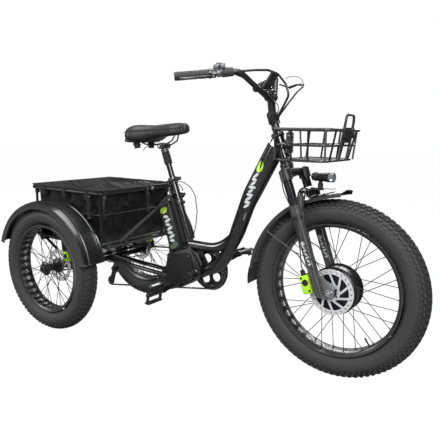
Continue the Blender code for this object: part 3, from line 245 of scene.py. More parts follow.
def fillet(points, radius, steps=6, closed=False):
    """Rounds the corners of a polyline with arcs; radius is one value or one per point."""
    points = [Vector(p) for p in points]
    out = []
    count = len(points)
    for i, corner in enumerate(points):
        if not closed and i in (0, count - 1):
            out.append(corner)
            continue
        before = points[i - 1] - corner
        after = points[(i + 1) % count] - corner
        room_before, room_after = before.length, after.length
        before, after = before / room_before, after / room_after
        angle = before.angle(after)
        if math.pi - angle < 0.02:
            out.append(corner)
            continue
        wanted = radius[i] if isinstance(radius, (list, tuple)) else radius
        cut = min(wanted / math.tan(angle / 2), 0.49 * room_before, 0.49 * room_after)
        fitted = cut * math.tan(angle / 2)
        centre = corner + (before + after).normalized() * (fitted / math.sin(angle / 2))
        start, end = corner + before * cut - centre, corner + after * cut - centre
        sweep = start.angle(end)
        for k in range(steps + 1):
            t = k / steps
            spoke = start * math.sin((1 - t) * sweep) + end * math.sin(t * sweep)
            out.append(centre + spoke / math.sin(sweep))
    return out


def polyline(points, closed, radii=None, **settings):
    """BMesh made from a curve through the points."""
    curve = bpy.data.curves.new("line", "CURVE")
    for key, value in settings.items():
        setattr(curve, key, value)
    spline = curve.splines.new("POLY")
    spline.points.add(len(points) - 1)
    for k, place in enumerate(points):
        spline.points[k].co = (*place, 1.0)
        if radii:
            spline.points[k].radius = radii[k]
    spline.use_cyclic_u = closed
    mesh = baked(link(curve))
    bpy.data.curves.remove(curve)
    return welded(mesh, 1e-6)


def pipe(points, radius, closed=False, resolution=3, radii=None, squash=1.0):
    """Round bar along a polyline; squash below 1 makes it oval, narrow across Y."""
    bm = polyline(points, closed, radii or [1.0] * len(points), dimensions="3D",
                  bevel_depth=radius, bevel_resolution=resolution, use_fill_caps=True)
    bmesh.ops.scale(bm, vec=(1, squash, 1), verts=bm.verts)
    return from_bm(bm)


def plate(outline, half, centre_y=0.0):
    """Flat outline of (x, z) points, extruded to half on each side of centre_y."""
    bm = polyline([(x, z, 0.0) for x, z in outline], True, dimensions="2D",
                  fill_mode="BOTH", extrude=half)
    bmesh.ops.rotate(bm, verts=bm.verts, matrix=Matrix.Rotation(math.pi / 2, 3, "X"))
    bmesh.ops.translate(bm, verts=bm.verts, vec=(0, centre_y, 0))
    return from_bm(bm)


def turned(profile, centre, axis=Y, steps=96):
    """Closed profile of (radius, along axis) points, turned about the axis."""
    area = sum(a[0] * b[1] - b[0] * a[1] for a, b in zip(profile, profile[1:] + profile[:1]))
    points = profile if area < 0 else profile[::-1]
    mesh = bpy.data.meshes.new("turned")
    count = len(points)
    mesh.from_pydata([(radius, 0, height) for radius, height in points],
                     [(k, (k + 1) % count) for k in range(count)], [])
    source = link(mesh)
    screw = source.modifiers.new("turn", "SCREW")
    screw.axis = "Z"
    screw.angle = 2 * math.pi
    screw.steps = screw.render_steps = steps
    screw.use_merge_vertices = True
    screw.merge_threshold = 1e-6
    bm = welded(baked(source), 1e-7)
    bmesh.ops.transform(bm, matrix=Matrix.Translation(centre) @ turn_to(axis),
                        verts=bm.verts)
    return from_bm(bm)


def collar(inner, outer, low, high, centre, axis=Y, steps=96):
    """Plain ring of rectangular section."""
    section = [(inner, low), (outer, low), (outer, high), (inner, high)]
    return turned(section, centre, axis, steps)


def sided(profile, side):
    """Turned profile with its heights reflected for the right side."""
    return [(radius, side * height) for radius, height in profile]


def swept(profile, centre, start, end, steps):
    """Closed profile of (radius, y) points, swept about the Y axis between two angles."""
    bm = bmesh.new()
    cos, sin = math.cos(start), math.sin(start)
    verts = [bm.verts.new((centre[0] + r * cos, y, centre[2] + r * sin)) for r, y in profile]
    face = bm.faces.new(verts)
    bmesh.ops.spin(bm, geom=[face, *face.edges, *verts], cent=centre, axis=(0, -1, 0),
                   angle=end - start, steps=steps, use_duplicate=False)
    return from_bm(bm)


def loft(rows, caps=True):
    """Skin through closed rows of points."""
    bm = bmesh.new()
    rings = [[bm.verts.new(p) for p in row] for row in rows]
    for low, high in zip(rings[:-1], rings[1:]):
        for k in range(len(low)):
            after = (k + 1) % len(low)
            bm.faces.new((low[k], low[after], high[after], high[k]))
    if caps:
        bm.faces.new(rings[0])
        bm.faces.new(rings[-1][::-1])
    return from_bm(bm)


def combine(meshes, cut=()):
    """Boolean union of meshes, then the cutters taken away."""
    base = link(meshes[0])
    helpers = []
    for group, kind in ((meshes[1:], "UNION"), (cut, "DIFFERENCE")):
        for mesh in group:
            helper = link(mesh)
            helpers.append(helper)
            boolean = base.modifiers.new("join", "BOOLEAN")
            boolean.operation = kind
            boolean.solver = "EXACT"
            boolean.use_hole_tolerant = True
            boolean.object = helper
    made = baked(base)
    for helper in helpers:
        bpy.data.objects.remove(helper, do_unlink=True)
    return made


def mirrored(mesh):
    """Copy reflected to the other side of the middle plane."""
    bm = bmesh.new()
    bm.from_mesh(mesh)
    bmesh.ops.scale(bm, vec=(1, -1, 1), verts=bm.verts)
    bmesh.ops.reverse_faces(bm, faces=bm.faces)
    return from_bm(bm)


def merged(meshes):
    """Several meshes as one, without a boolean."""
    bm = bmesh.new()
    for mesh in meshes:
        bm.from_mesh(mesh)
    return from_bm(bm)


# ------------------------------------------------------------------ finishes
def fill_inputs(tree, node, inputs):
    """Sets each input to a value, or links it from an output socket."""
    for key, value in inputs.items():
        if isinstance(value, bpy.types.NodeSocket):
            tree.links.new(value, node.inputs[key])
        else:
            node.inputs[key].default_value = value


def add_node(tree, kind, inputs=None, **settings):
    node = tree.nodes.new("ShaderNode" + kind)
    for key, value in settings.items():
        setattr(node, key, value)
    fill_inputs(tree, node, inputs or {})
    return node


def math_node(tree, operation, *values):
    node = add_node(tree, "Math", dict(enumerate(values)), operation=operation)
    return node.outputs["Value"]


def mix_colours(tree, factor, first, second):
    node = add_node(tree, "Mix", {"A": first, "B": second, "Factor": factor},
                    data_type="RGBA")
    return node.outputs["Result"]


def weave(tree, place):
    """Crossed threads: waves along all three axes."""
    x, y, z = [add_node(tree, "TexWave", {"Scale": 260.0, "Vector": place},
                        bands_direction=axis).outputs["Fac"] for axis in "XYZ"]
    return math_node(tree, "MULTIPLY_ADD", y, 0.6, math_node(tree, "MULTIPLY", x, z))


def leather(tree, place):
    return add_node(tree, "TexVoronoi", {"Scale": 420.0, "Vector": place},
                    feature="DISTANCE_TO_EDGE").outputs["Distance"]


def knurl(tree, place):
    return add_node(tree, "TexVoronoi", {"Scale": 260.0, "Vector": place}).outputs["Distance"]


def finish(name, base, rough, metal=0.0, coat=0.0, coat_rough=0.08, bump=0.15, grain=400.0,
           stretch=None, vary=0.25, rough_vary=0.12, wear=0.0,
           wear_colour=(0.35, 0.35, 0.36), pattern=None, spec=0.5, transmission=0.0):
    """Blotchy colour and roughness, fine bump from grain or a pattern, brighter worn edges."""
    material = bpy.data.materials.new(name)
    material.use_nodes = True
    material.diffuse_color = (*base, 1)
    tree = material.node_tree
    place = add_node(tree, "TexCoord").outputs["Object"]
    blotch = add_node(tree, "TexNoise", {"Scale": 9.0, "Detail": 5.0, "Vector": place})
    blotch = blotch.outputs["Fac"]
    if pattern:
        height = pattern(tree, place)
    else:
        if stretch:
            mapping = add_node(tree, "Mapping", {"Scale": stretch, "Vector": place})
            place = mapping.outputs["Vector"]
        height = add_node(tree, "TexNoise", {"Scale": grain, "Detail": 6.0, "Vector": place})
        height = height.outputs["Fac"]
    dark = tuple(c * (1 - vary) for c in base)
    light = tuple(min(1.0, c * (1 + vary)) for c in base)
    colour = mix_colours(tree, blotch, (*dark, 1), (*light, 1))
    if wear:
        edges = add_node(tree, "NewGeometry").outputs["Pointiness"]
        worn = add_node(tree, "MapRange", {"From Min": 0.53, "From Max": 0.62,
                                           "Value": edges}).outputs["Result"]
        broken = math_node(tree, "MULTIPLY", worn, height)
        amount = math_node(tree, "MULTIPLY", broken, wear)
        colour = mix_colours(tree, amount, colour, (*wear_colour, 1))
    roughness = add_node(tree, "MapRange", {
        "To Min": max(0.02, rough - rough_vary), "To Max": min(1.0, rough + rough_vary),
        "Value": blotch})
    relief = add_node(tree, "Bump", {"Strength": bump, "Distance": 0.0006, "Height": height})
    fill_inputs(tree, tree.nodes["Principled BSDF"], {
        "Base Color": colour, "Roughness": roughness.outputs["Result"],
        "Normal": relief.outputs["Normal"], "Metallic": metal, "Specular IOR Level": spec,
        "Coat Weight": coat, "Coat Roughness": coat_rough,
        "Transmission Weight": transmission})
    return material


FRAME_PAINT = finish("m_frame_paint", base=(0.0045, 0.0045, 0.0050), rough=0.20, coat=0.6,
                     bump=0.04, grain=900, vary=0.2, wear=0.25)
FENDER_PAINT = finish("m_fender_gloss", base=(0.0045, 0.0045, 0.0050), rough=0.30, coat=0.25,
                      bump=0.04, grain=1200, vary=0.2, coat_rough=0.14, wear=0.2)
BLACK_METAL = finish("m_black_metal", base=(0.0070, 0.0070, 0.0078), rough=0.34, metal=0.25,
                     bump=0.10, grain=1500, wear=0.45)
RIM_METAL = finish("m_rim_metal", base=(0.009, 0.009, 0.010), rough=0.36, metal=0.3,
                   coat=0.25, bump=0.06, grain=1500, stretch=(1, 6, 1), wear=0.5)
DISC = finish("m_disc_steel", base=(0.74, 0.74, 0.76), rough=0.38, metal=0.55, bump=0.10,
              grain=900, vary=0.08, stretch=(6, 1, 1), wear=0.2, wear_colour=(0.9, 0.9, 0.9))
PIPING = finish("m_piping", base=(0.055, 0.055, 0.058), rough=0.42, bump=0.3, grain=1200,
                vary=0.2, coat=0.2)
SOFT_GREY = finish("m_soft_grey", base=(0.16, 0.165, 0.17), rough=0.38, bump=0.08,
                   grain=1200, vary=0.12, coat=0.2)
STEEL = finish("m_steel", base=(0.56, 0.56, 0.58), rough=0.27, metal=1.0, bump=0.10,
               grain=700, vary=0.08, stretch=(8, 1, 1), wear=0.3, wear_colour=(0.8, 0.8, 0.8))
DARK_STEEL = finish("m_dark_steel", base=(0.070, 0.070, 0.075), rough=0.35, metal=1.0,
                    bump=0.12, grain=900, vary=0.2, wear=0.5)
CHROME = finish("m_chrome", base=(0.72, 0.72, 0.74), rough=0.10, metal=1.0, bump=0.02,
                grain=500, vary=0.05, rough_vary=0.04)
STANCHION = finish("m_stanchion", base=(0.030, 0.030, 0.033), rough=0.16, metal=0.8,
                   coat=0.4, bump=0.02, grain=800, vary=0.1, rough_vary=0.04)
SPOKE = finish("m_spoke", base=(0.020, 0.020, 0.021), rough=0.40, metal=0.3, bump=0.05,
               grain=900, vary=0.2)
RUBBER = finish("m_tyre_rubber", base=(0.031, 0.031, 0.0315), rough=0.68, bump=0.35,
                grain=700, vary=0.22, rough_vary=0.1, spec=0.4, wear=0.15,
                wear_colour=(0.05, 0.05, 0.05))
GRIP = finish("m_grip_rubber", base=(0.026, 0.026, 0.0265), rough=0.66, bump=0.5, vary=0.2,
              pattern=knurl)
PLASTIC = finish("m_black_plastic", base=(0.009, 0.009, 0.0095), rough=0.42, bump=0.12,
                 grain=1400, vary=0.2, wear=0.2, wear_colour=(0.1, 0.1, 0.1))
LIME = finish("m_lime", base=(0.50, 0.98, 0.010), rough=0.34, metal=0.25, coat=0.35,
              bump=0.06, grain=900, vary=0.12, wear=0.3, wear_colour=(0.75, 0.9, 0.5))
FABRIC = finish("m_bag_fabric", base=(0.0072, 0.0072, 0.0078), rough=0.55, bump=0.5,
                vary=0.4, pattern=weave, spec=0.18)
TRIM = finish("m_bag_trim", base=(0.012, 0.012, 0.0125), rough=0.55, bump=0.6, vary=0.3,
              pattern=weave, spec=0.25)
VINYL = finish("m_saddle_vinyl", base=(0.0175, 0.0175, 0.018), rough=0.48, bump=0.45,
               pattern=leather, spec=0.45)
GREY = finish("m_dropout_grey", base=(0.17, 0.175, 0.18), rough=0.40, metal=0.5, bump=0.12,
              grain=900, vary=0.15, wear=0.4)
LENS = finish("m_lens", base=(0.40, 0.42, 0.45), rough=0.10, bump=0.25, grain=220,
              vary=0.05, rough_vary=0.03, transmission=0.65)
LAMP = finish("m_lamp_shell", base=(0.016, 0.016, 0.017), rough=0.20, metal=0.3, coat=0.3,
              bump=0.04, grain=900, vary=0.1, wear=0.3)
SCREEN = finish("m_screen", base=(0.010, 0.012, 0.015), rough=0.08, coat=1.0, bump=0.01,
                grain=500, vary=0.3, coat_rough=0.02)
WHITE = finish("m_pale_print", base=(0.62, 0.63, 0.64), rough=0.40, coat=0.4, bump=0.05,
               grain=900, vary=0.08)
STRIP = finish("m_rim_strip", base=(0.30, 0.30, 0.31), rough=0.55, bump=0.3, grain=900,
               vary=0.15)
STRIP_LIGHT = finish("m_rim_strip_light", base=(0.62, 0.62, 0.63), rough=0.5, bump=0.3,
                     grain=900, vary=0.12)
CABLE = finish("m_cable", base=(0.009, 0.009, 0.0095), rough=0.38, coat=0.2, bump=0.08,
               grain=1500, vary=0.2)


# ------------------------------------------------------------------ printed marks
def ellipse_mask(tree, place, centre, along, half_long, half_wide):
    """1 inside an ellipse drawn on the side of a tube, 0 outside."""
    long = Vector(along).normalized()
    wide = Vector((long.z, 0, -long.x))
    squares = []
    for axis, size in ((long, half_long), (wide, half_wide)):
        offset = add_node(tree, "VectorMath", {0: place, 1: centre}, operation="SUBTRACT")
        share = add_node(tree, "VectorMath", {0: offset.outputs["Vector"], 1: axis / size},
                         operation="DOT_PRODUCT").outputs["Value"]
        squares.append(math_node(tree, "MULTIPLY", share, share))
    return math_node(tree, "LESS_THAN", math_node(tree, "ADD", *squares), 1.0)


def print_over(material, spots):
    """Flat ellipses over a finish: (centre, long direction, half length, half width, ink)."""
    tree = material.node_tree
    shader = tree.nodes["Principled BSDF"]
    coords = next(n for n in tree.nodes if n.bl_idname == "ShaderNodeTexCoord")
    place = coords.outputs["Object"]
    for (x, y, z), along, half_long, half_wide, ink in spots:
        under = shader.inputs["Base Color"].links[0].from_socket
        mask = ellipse_mask(tree, place, (x - LAYOUT_X, y, z), along, half_long, half_wide)
        colour = mix_colours(tree, mask, under, (*ink, 1))
        tree.links.new(colour, shader.inputs["Base Color"])


def frame_print():
    """Green oval at the top of the down tube, a line of pale strokes and a thin mark."""
    material = FRAME_PAINT.copy()
    material.name = "m_frame_printed"
    tube = Vector((-0.055, 0, -0.135))
    spots = [((0.957, -0.03, 0.814), tube, 0.025, 0.0165, (0.42, 0.66, 0.03)),
             ((0.953, -0.03, 0.806), tube, 0.012, 0.0030, (0.66, 0.80, 0.25))]
    for k in range(9):
        u = k / 8
        spots.append(((0.939 - 0.044 * u, -0.03, 0.776 - 0.130 * u),
                      Vector((0.9, 0, 0.25 + 0.3 * (-1) ** k)),
                      0.0172 - 0.0050 * ((k * 2) % 3) / 2, 0.0054 + 0.0012 * (k % 2),
                      (0.58, 0.59, 0.60)))
    spots.append(((0.887, -0.03, 0.600), Vector((0.35, 0, 1.0)), 0.020, 0.0024,
                  (0.20, 0.20, 0.21)))
    print_over(material, spots)
    return material


def leg_print():
    """Grey strokes down the fork lowers, under a larger first mark."""
    material = FRAME_PAINT.copy()
    material.name = "m_leg_printed"
    spots = []
    for k in range(7):
        u = k / 6
        spots.append(((1.192 + 0.0345 * u, -0.09, 0.536 - 0.075 * u),
                      Vector((0.85, 0, 0.5 * (-1) ** k)), 0.0085 if k else 0.0105,
                      0.0036 if k else 0.0090, (0.42, 0.43, 0.44)))
    print_over(material, spots)
    return material


def battery_print():
    """Battery label: green ovals over rows of pale strokes, and a dark patch at the foot."""
    material = finish("m_label", base=(0.020, 0.023, 0.021), rough=0.35, coat=0.4,
                      bump=0.05, grain=900, vary=0.1)
    pale = (0.60, 0.62, 0.62)
    rows = [      # height on the seat tube, back from it, half length, half width, ink
        (0.610, 0.069, 0.0220, 0.0150, (0.30, 0.50, 0.04)),
        (0.602, 0.066, 0.0100, 0.0040, (0.62, 0.74, 0.30)),
        (0.580, 0.067, 0.0150, 0.0068, pale), (0.562, 0.062, 0.0185, 0.0068, pale),
        (0.544, 0.066, 0.0140, 0.0068, pale), (0.526, 0.062, 0.0185, 0.0068, pale),
        (0.508, 0.066, 0.0150, 0.0068, pale), (0.490, 0.062, 0.0185, 0.0068, pale),
        (0.472, 0.066, 0.0140, 0.0068, pale),
        (0.449, 0.064, 0.0260, 0.0120, (0.11, 0.13, 0.10))]
    spots = []
    for z, back, half_long, half_wide, ink in rows:
        point = behind_seat(z, back)
        tilt = 1 if int(z * 1000) % 4 else -1
        spots.append(((point.x, -0.045, point.z), AHEAD + SLOPE * 0.25 * tilt,
                      half_long, half_wide, ink))
    print_over(material, spots)
    return material


FRAME_DECAL = frame_print()
LEG_DECAL = leg_print()
LABEL = battery_print()


# ------------------------------------------------------------------ placing pieces
def placed(name, mesh, material):
    """Object in the shared frame, smooth shaded."""
    mesh.name = name
    made = link(mesh, name)
    mesh.materials.clear()
    mesh.materials.append(material)
    mesh.transform(Matrix.Translation((-LAYOUT_X, 0, 0)))
    mesh.shade_smooth()
    return made


def dress(name, mesh, material, node, bevel, angle):
    """Object that rides the body of a CAD node."""
    made = placed(name, mesh, material)
    mesh.set_sharp_from_angle(angle=math.radians(angle))
    if bevel:
        edge = made.modifiers.new("edge", "BEVEL")
        edge.width = bevel
        edge.segments = 2
        edge.limit_method = "ANGLE"
        edge.angle_limit = math.radians(40)
        edge.use_clamp_overlap = True
    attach(made, BODY_OF[node])
    return made


def add(node, mesh, material, bevel=0.0, angle=38):
    """Visual version of a CAD node: it takes the node's place."""
    made = dress("v_" + node, mesh, material, node, bevel, angle)
    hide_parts(node)
    return made


def extra(name, mesh, material, node, bevel=0.0, angle=38):
    """Detail that rides the body of the node it belongs to."""
    return dress("d_" + name, mesh, material, node, bevel, angle)


def bending(name, mesh):
    """Cable across a joint, as a fixed mesh in the shared frame that rides no body."""
    made = placed("d_" + name, mesh, CABLE)
    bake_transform(made)


def cord(name, points, radius, bend=0.05):
    """Cable fixed to the frame."""
    extra(name, pipe(fillet(points, bend, steps=8), radius, resolution=2), CABLE, "frame")


# ------------------------------------------------------------------ wheels
# (section angle, half width, shifts of the right and left rows in pitches, height)
TREAD_ROWS = [(0.16, 0.085, (0.0, 0.5), 0.0030), (0.46, 0.11, (0.25, 0.75), 0.0030),
              (0.82, 0.13, (0.0, 0.5), 0.0028), (1.14, 0.09, (0.5, 0.0), 0.0020)]
BOX_FACES = ((3, 2, 1, 0), (4, 5, 6, 7), (0, 1, 5, 4), (1, 2, 6, 5), (2, 3, 7, 6), (3, 0, 4, 7))
# (radius beyond the rim radius, y)
RIM_SECTION = [
    (0.0010, -0.0375), (0.0014, -0.0352), (-0.0100, -0.0290), (-0.0112, -0.0262),
    (-0.0112, 0.0262), (-0.0100, 0.0290), (0.0014, 0.0352), (0.0010, 0.0375),
    (-0.0030, 0.0365), (-0.0120, 0.0310), (-0.0138, 0.0275), (-0.0138, -0.0275),
    (-0.0120, -0.0310), (-0.0030, -0.0365)]
# (radius, y)
MOTOR_SECTION = [
    (0.0086, -0.048), (0.030, -0.048), (0.033, -0.0465), (0.034, -0.043), (0.050, -0.0415),
    (0.080, -0.0385), (0.088, -0.0345), (0.0905, -0.031), (0.0950, -0.0305),
    (0.0950, -0.0275), (0.0880, -0.0265), (0.0880, 0.0340), (0.0950, 0.0350),
    (0.0950, 0.0380), (0.0905, 0.0385), (0.088, 0.0420), (0.078, 0.0460), (0.048, 0.0490),
    (0.036, 0.0500), (0.033, 0.0535), (0.0086, 0.054)]
# (radius, distance outwards from the wheel's middle plane)
REAR_HUB_SECTION = [
    (AXLE_R + GAP, -0.0468), (0.0275, -0.0468), (0.030, -0.0445), (0.0355, -0.0415),
    (0.0362, -0.0395), (0.0355, -0.0375), (0.024, -0.0345), (0.0185, -0.030), (0.0170, 0.0),
    (0.0185, 0.019), (0.024, 0.0235), (0.0335, 0.0265), (0.0342, 0.0285), (0.0335, 0.0305),
    (0.026, 0.034), (0.0215, 0.036), (0.0200, 0.0395), (AXLE_R + GAP, 0.040)]
HUB_CAP_SECTION = [
    (AXLE_R + 0.0002, 0.0405), (0.0155, 0.0405), (0.0175, 0.0425), (0.0175, 0.0475),
    (0.0150, 0.0500), (AXLE_R + 0.0002, 0.0500)]


def tread(centre, outer, count, half_lengths):
    """Pairs of rows of tapered blocks round the tyre; half_lengths are angles, one per pair."""
    middle = outer - TYRE_R
    bm = bmesh.new()
    for (section, half_width, shifts, high), half_length in zip(TREAD_ROWS, half_lengths):
        levels = ((TYRE_R - 0.0092, 1.0), (TYRE_R - 0.0004 - (0.0030 - high), 0.84))
        for side, shift in zip(BOTH, shifts):
            for k in range(count):
                block_at = math.tau * (k + shift) / count
                verts = []
                for radius, taper in levels:
                    for a, b in ((-1, -1), (1, -1), (1, 1), (-1, 1)):
                        phi = side * section + b * half_width * taper
                        skew = 0.25 * half_length * b * side
                        theta = block_at + a * half_length * taper + skew
                        verts.append(bm.verts.new(polar(
                            centre, middle + radius * math.cos(phi), theta,
                            radius * math.sin(phi))))
                for corners in BOX_FACES:
                    bm.faces.new([verts[i] for i in corners])
    return from_bm(bm)


def tyre_body(centre, outer, rim):
    """Tyre without its tread blocks: four fine ridges, sunk under the tread."""
    middle = outer - TYRE_R
    profile = []
    for k in range(36):
        angle = math.tau * (k + 0.5) / 36
        ridge = 0.0006 if k in (8, 11, 24, 27) else 0.0
        from_crown = min(angle, math.tau - angle)
        sunk = 0.0034 * min(1.0, max(0.0, (1.30 - from_crown) / 0.22))
        radius = TYRE_R - 0.0034 + ridge - sunk
        profile.append((max(middle + radius * math.cos(angle), rim + 0.0016),
                        radius * math.sin(angle)))
    return turned(profile, centre, steps=128)


def rim_cutter(centre, rim, angle, slot_half, radius):
    """Round hole in the rim bed, or a slot when slot_half isn't zero."""
    out = Vector((math.cos(angle), 0, math.sin(angle)))
    along = Vector((-math.sin(angle), 0, math.cos(angle)))
    middle = polar(centre, rim - 0.0125, angle, 0)
    if not slot_half:
        return pin(middle, out, -0.006, 0.006, radius, sides=24)
    ends = [pin(middle + along * s * slot_half, out, -0.006, 0.006, radius, sides=20)
            for s in (1, -1)]
    return combine([*ends, block(middle, (2 * slot_half, 2 * radius, 0.012),
                                 axes=(along, Y, out))])


def tyre_and_rim(end, tag, centre, outer, rim, blocks, half_lengths, slot_half, hole_radius,
                 strip):
    add(f"{end}_tyre{tag}", tyre_body(centre, outer, rim), RUBBER, angle=60)
    extra(f"{end}_tread{tag}", tread(centre, outer, blocks, half_lengths), RUBBER,
          f"{end}_tyre{tag}", angle=25)
    base = turned([(rim + dr, y) for dr, y in RIM_SECTION], centre, steps=144)
    cutters = [rim_cutter(centre, rim, math.tau * (k + 0.5) / 36, slot_half, hole_radius)
               for k in range(36)]
    add(f"{end}_rim{tag}", combine([base], cut=[merged(cutters)]), RIM_METAL, angle=30)
    high, low = rim - 0.0098, rim - 0.0108
    band = turned([(high, -0.0240), (high, 0.0240), (low, 0.0240), (low, -0.0240)], centre)
    extra(f"{end}_rim{tag}_strip", band, strip, f"{end}_rim{tag}")


def lace(end, tag, hub, centre, rim, flanges, lean, count=18, wire=0.00145):
    """Crossed spokes with nipples; flanges are (radius, y at the hub, y at the rim)."""
    wires, nipples = [], []
    for flange, hub_y, rim_y in flanges:
        for k in range(count):
            angle = math.tau * (k + (0.5 if hub_y > 0 else 0.0)) / count
            sign = 1 if k % 2 == 0 else -1
            y = hub_y + sign * 0.0012
            start = polar(centre, flange - 0.0035, angle, y)
            stop = polar(centre, rim - 0.0110, angle + sign * lean, rim_y)
            wires.append(rod(start, stop, wire, sides=8))
            along = (stop - start).normalized()
            nipples.append(pin(stop, along, -0.0135, 0.0005, 0.0021, 0.0027, sides=8))
            wires.append(rod(polar(centre, flange - 0.0035, angle, y - 0.0022),
                             polar(centre, flange - 0.0035, angle, y + 0.0022),
                             0.0016, sides=8))
    extra(f"{end}_spokes{tag}", merged(wires), SPOKE, hub)
    extra(f"{end}_nipples{tag}", merged(nipples), DARK_STEEL, f"{end}_rim{tag}")


def rotor(name, centre, radius, y, out):
    """Brake disc: slotted band on leaning arms, its bolts on the side out points to."""
    band_in = radius - 0.0195
    low, high = y - 0.0009, y + 0.0009
    parts = [turned([(inner, low), (inner, high), (outer, high), (outer, low)], centre,
                    steps=steps)
             for inner, outer, steps in ((band_in, radius, 144), (0.0226, 0.0360, 72))]
    for k in range(10):
        angle = math.tau * k / 10
        parts.append(bar(polar(centre, 0.0345, angle, y),
                         polar(centre, band_in + 0.0040, angle + 0.46, y), 0.00178, 0.0086))
    cut = []
    for k in range(24):
        angle = math.tau * k / 24
        cut.append(bar(polar(centre, band_in + 0.0050, angle, y),
                       polar(centre, radius - 0.0050, angle + 0.10, y), 0.02, 0.0026))
    for k in range(8):
        notch = polar(centre, radius + 0.0032, math.tau * (k + 0.3) / 8, y)
        cut.append(pin(notch, Y, -0.01, 0.01, 0.0048, sides=16))
    add(name, combine([combine(parts)], cut=[merged(cut)]), DISC, angle=30)
    bolts = [pin(polar(centre, 0.0265, math.tau * (k + 0.5) / 6, y), Y, 0.0, out * 0.0042,
                 0.0034, sides=12) for k in range(6)]
    extra(name + "_bolts", merged(bolts), DARK_STEEL, name)


def front_wheel():
    tyre_and_rim("front", "", FRONT_AXLE, FRONT_R, FRONT_RIM_R, blocks=88,
                 half_lengths=(0.024, 0.023, 0.022, 0.020), slot_half=0.0080,
                 hole_radius=0.0066, strip=STRIP_LIGHT)
    add("front_hub_motor", turned(MOTOR_SECTION, FRONT_AXLE, steps=128), BLACK_METAL,
        angle=32)
    fins = []
    for k in range(18):
        angle = math.tau * k / 18
        fins.append(rod(polar(FRONT_AXLE, 0.086, angle, 0.036),
                        polar(FRONT_AXLE, 0.086, angle, 0.0450), 0.0030, sides=10))
        axes = (Vector((math.cos(angle), 0, math.sin(angle))), Y,
                Vector((-math.sin(angle), 0, math.cos(angle))))
        fins.append(block(polar(FRONT_AXLE, 0.062, angle, 0.0480), (0.030, 0.0022, 0.0022),
                          axes=axes))
    extra("hub_fins", merged(fins), DARK_STEEL, "front_hub_motor")
    lace("front", "", "front_hub_motor", FRONT_AXLE, FRONT_RIM_R,
         ((0.0940, -0.0290, -0.009), (0.0940, 0.0365, 0.009)), lean=0.34)
    rotor("front_rotor", FRONT_AXLE, 0.090, -0.0545, -1)
    valve = polar(FRONT_AXLE, FRONT_RIM_R - 0.012, -0.95, 0.0)
    inwards = (FRONT_AXLE - valve).normalized()
    stem = [rod(valve, valve + inwards * 0.022, 0.0030, sides=12),
            pin(valve, inwards, 0.018, 0.036, 0.0039, 0.0034, sides=14)]
    extra("front_valve", merged(stem), CABLE, "front_rim")


def rear_wheel(side, name):
    centre = Vector((0, side * HALF_TRACK, REAR_R))
    tag, hub = "_" + name, f"rear_hub_{name}"
    tyre_and_rim("rear", tag, centre, REAR_R, REAR_RIM_R, blocks=74,
                 half_lengths=(0.029, 0.028, 0.026, 0.024), slot_half=0.0,
                 hole_radius=0.0105, strip=STRIP)
    add(hub, turned(sided(REAR_HUB_SECTION, side), centre, steps=72), BLACK_METAL, angle=32)
    lace("rear", tag, hub, centre, REAR_RIM_R,
         ((0.0355, -side * 0.0395, -side * 0.010), (0.0335, side * 0.0285, side * 0.010)),
         lean=0.62)
    rotor(f"rear_rotor_{name}", centre, 0.080, -side * 0.0520, -side)
    extra(f"hub_cap_{name}", turned(sided(HUB_CAP_SECTION, side), centre, steps=48),
          PLASTIC, hub)
    nut = rod((0, side * 0.3620, REAR_R), (0, side * 0.3700, REAR_R), 0.0125, sides=6)
    extra(f"axle_nut_{name}", nut, DARK_STEEL, "rear_axle", bevel=0.0008)


def axle_and_cassette():
    surface_r = AXLE_R - 0.0002
    section = [(0.0, -0.3738), (0.0062, -0.3738), (0.0070, -0.3725), (surface_r, -0.3700),
               (surface_r, 0.3700), (0.0070, 0.3725), (0.0062, 0.3738), (0.0, 0.3738)]
    add("rear_axle", turned(section, REAR_AXLE, steps=48), DARK_STEEL)
    section = [(AXLE_R + GAP, 0.0385), (0.0200, 0.0385), (0.0200, 0.0720),
               (0.0170, 0.0738), (AXLE_R + GAP, 0.0738)]
    add("rear_cassette", turned(section, REAR_AXLE, steps=48), DARK_STEEL)
    sprockets = [      # faces in y, tip radius, teeth
        (0.0400, 0.0420, 0.0555, 28), (0.0438, 0.0457, 0.0500, 25),
        (0.0476, 0.0495, 0.0448, 22), (0.0514, 0.0532, 0.0400, 19),
        (0.0610, 0.0630, 0.0378, 18), (0.0668, 0.0686, 0.0300, 13)]
    extra("sprockets", merged([toothed(REAR_AXLE, *row, bore=0.0201) for row in sprockets]),
          STEEL, "rear_cassette", angle=25)


# ------------------------------------------------------------------ drivetrain
def toothed(centre, face0, face1, tip, teeth, depth=0.0036, bore=0.0):
    """Sprocket plate between two y faces, with teeth round the edge."""
    outline = []
    for k in range(teeth * 4):
        angle = math.tau * k / (teeth * 4)
        radius = tip - depth * (0.0, 0.55, 1.0, 0.55)[k % 4]
        outline.append((centre[0] + radius * math.cos(angle),
                        centre[2] + radius * math.sin(angle)))
    made = plate(outline, abs(face1 - face0) / 2, (face0 + face1) / 2)
    if bore:
        made = combine([made], cut=[rod((centre[0], face0 - 0.01, centre[2]),
                                        (centre[0], face1 + 0.01, centre[2]),
                                        bore, sides=32)])
    return made


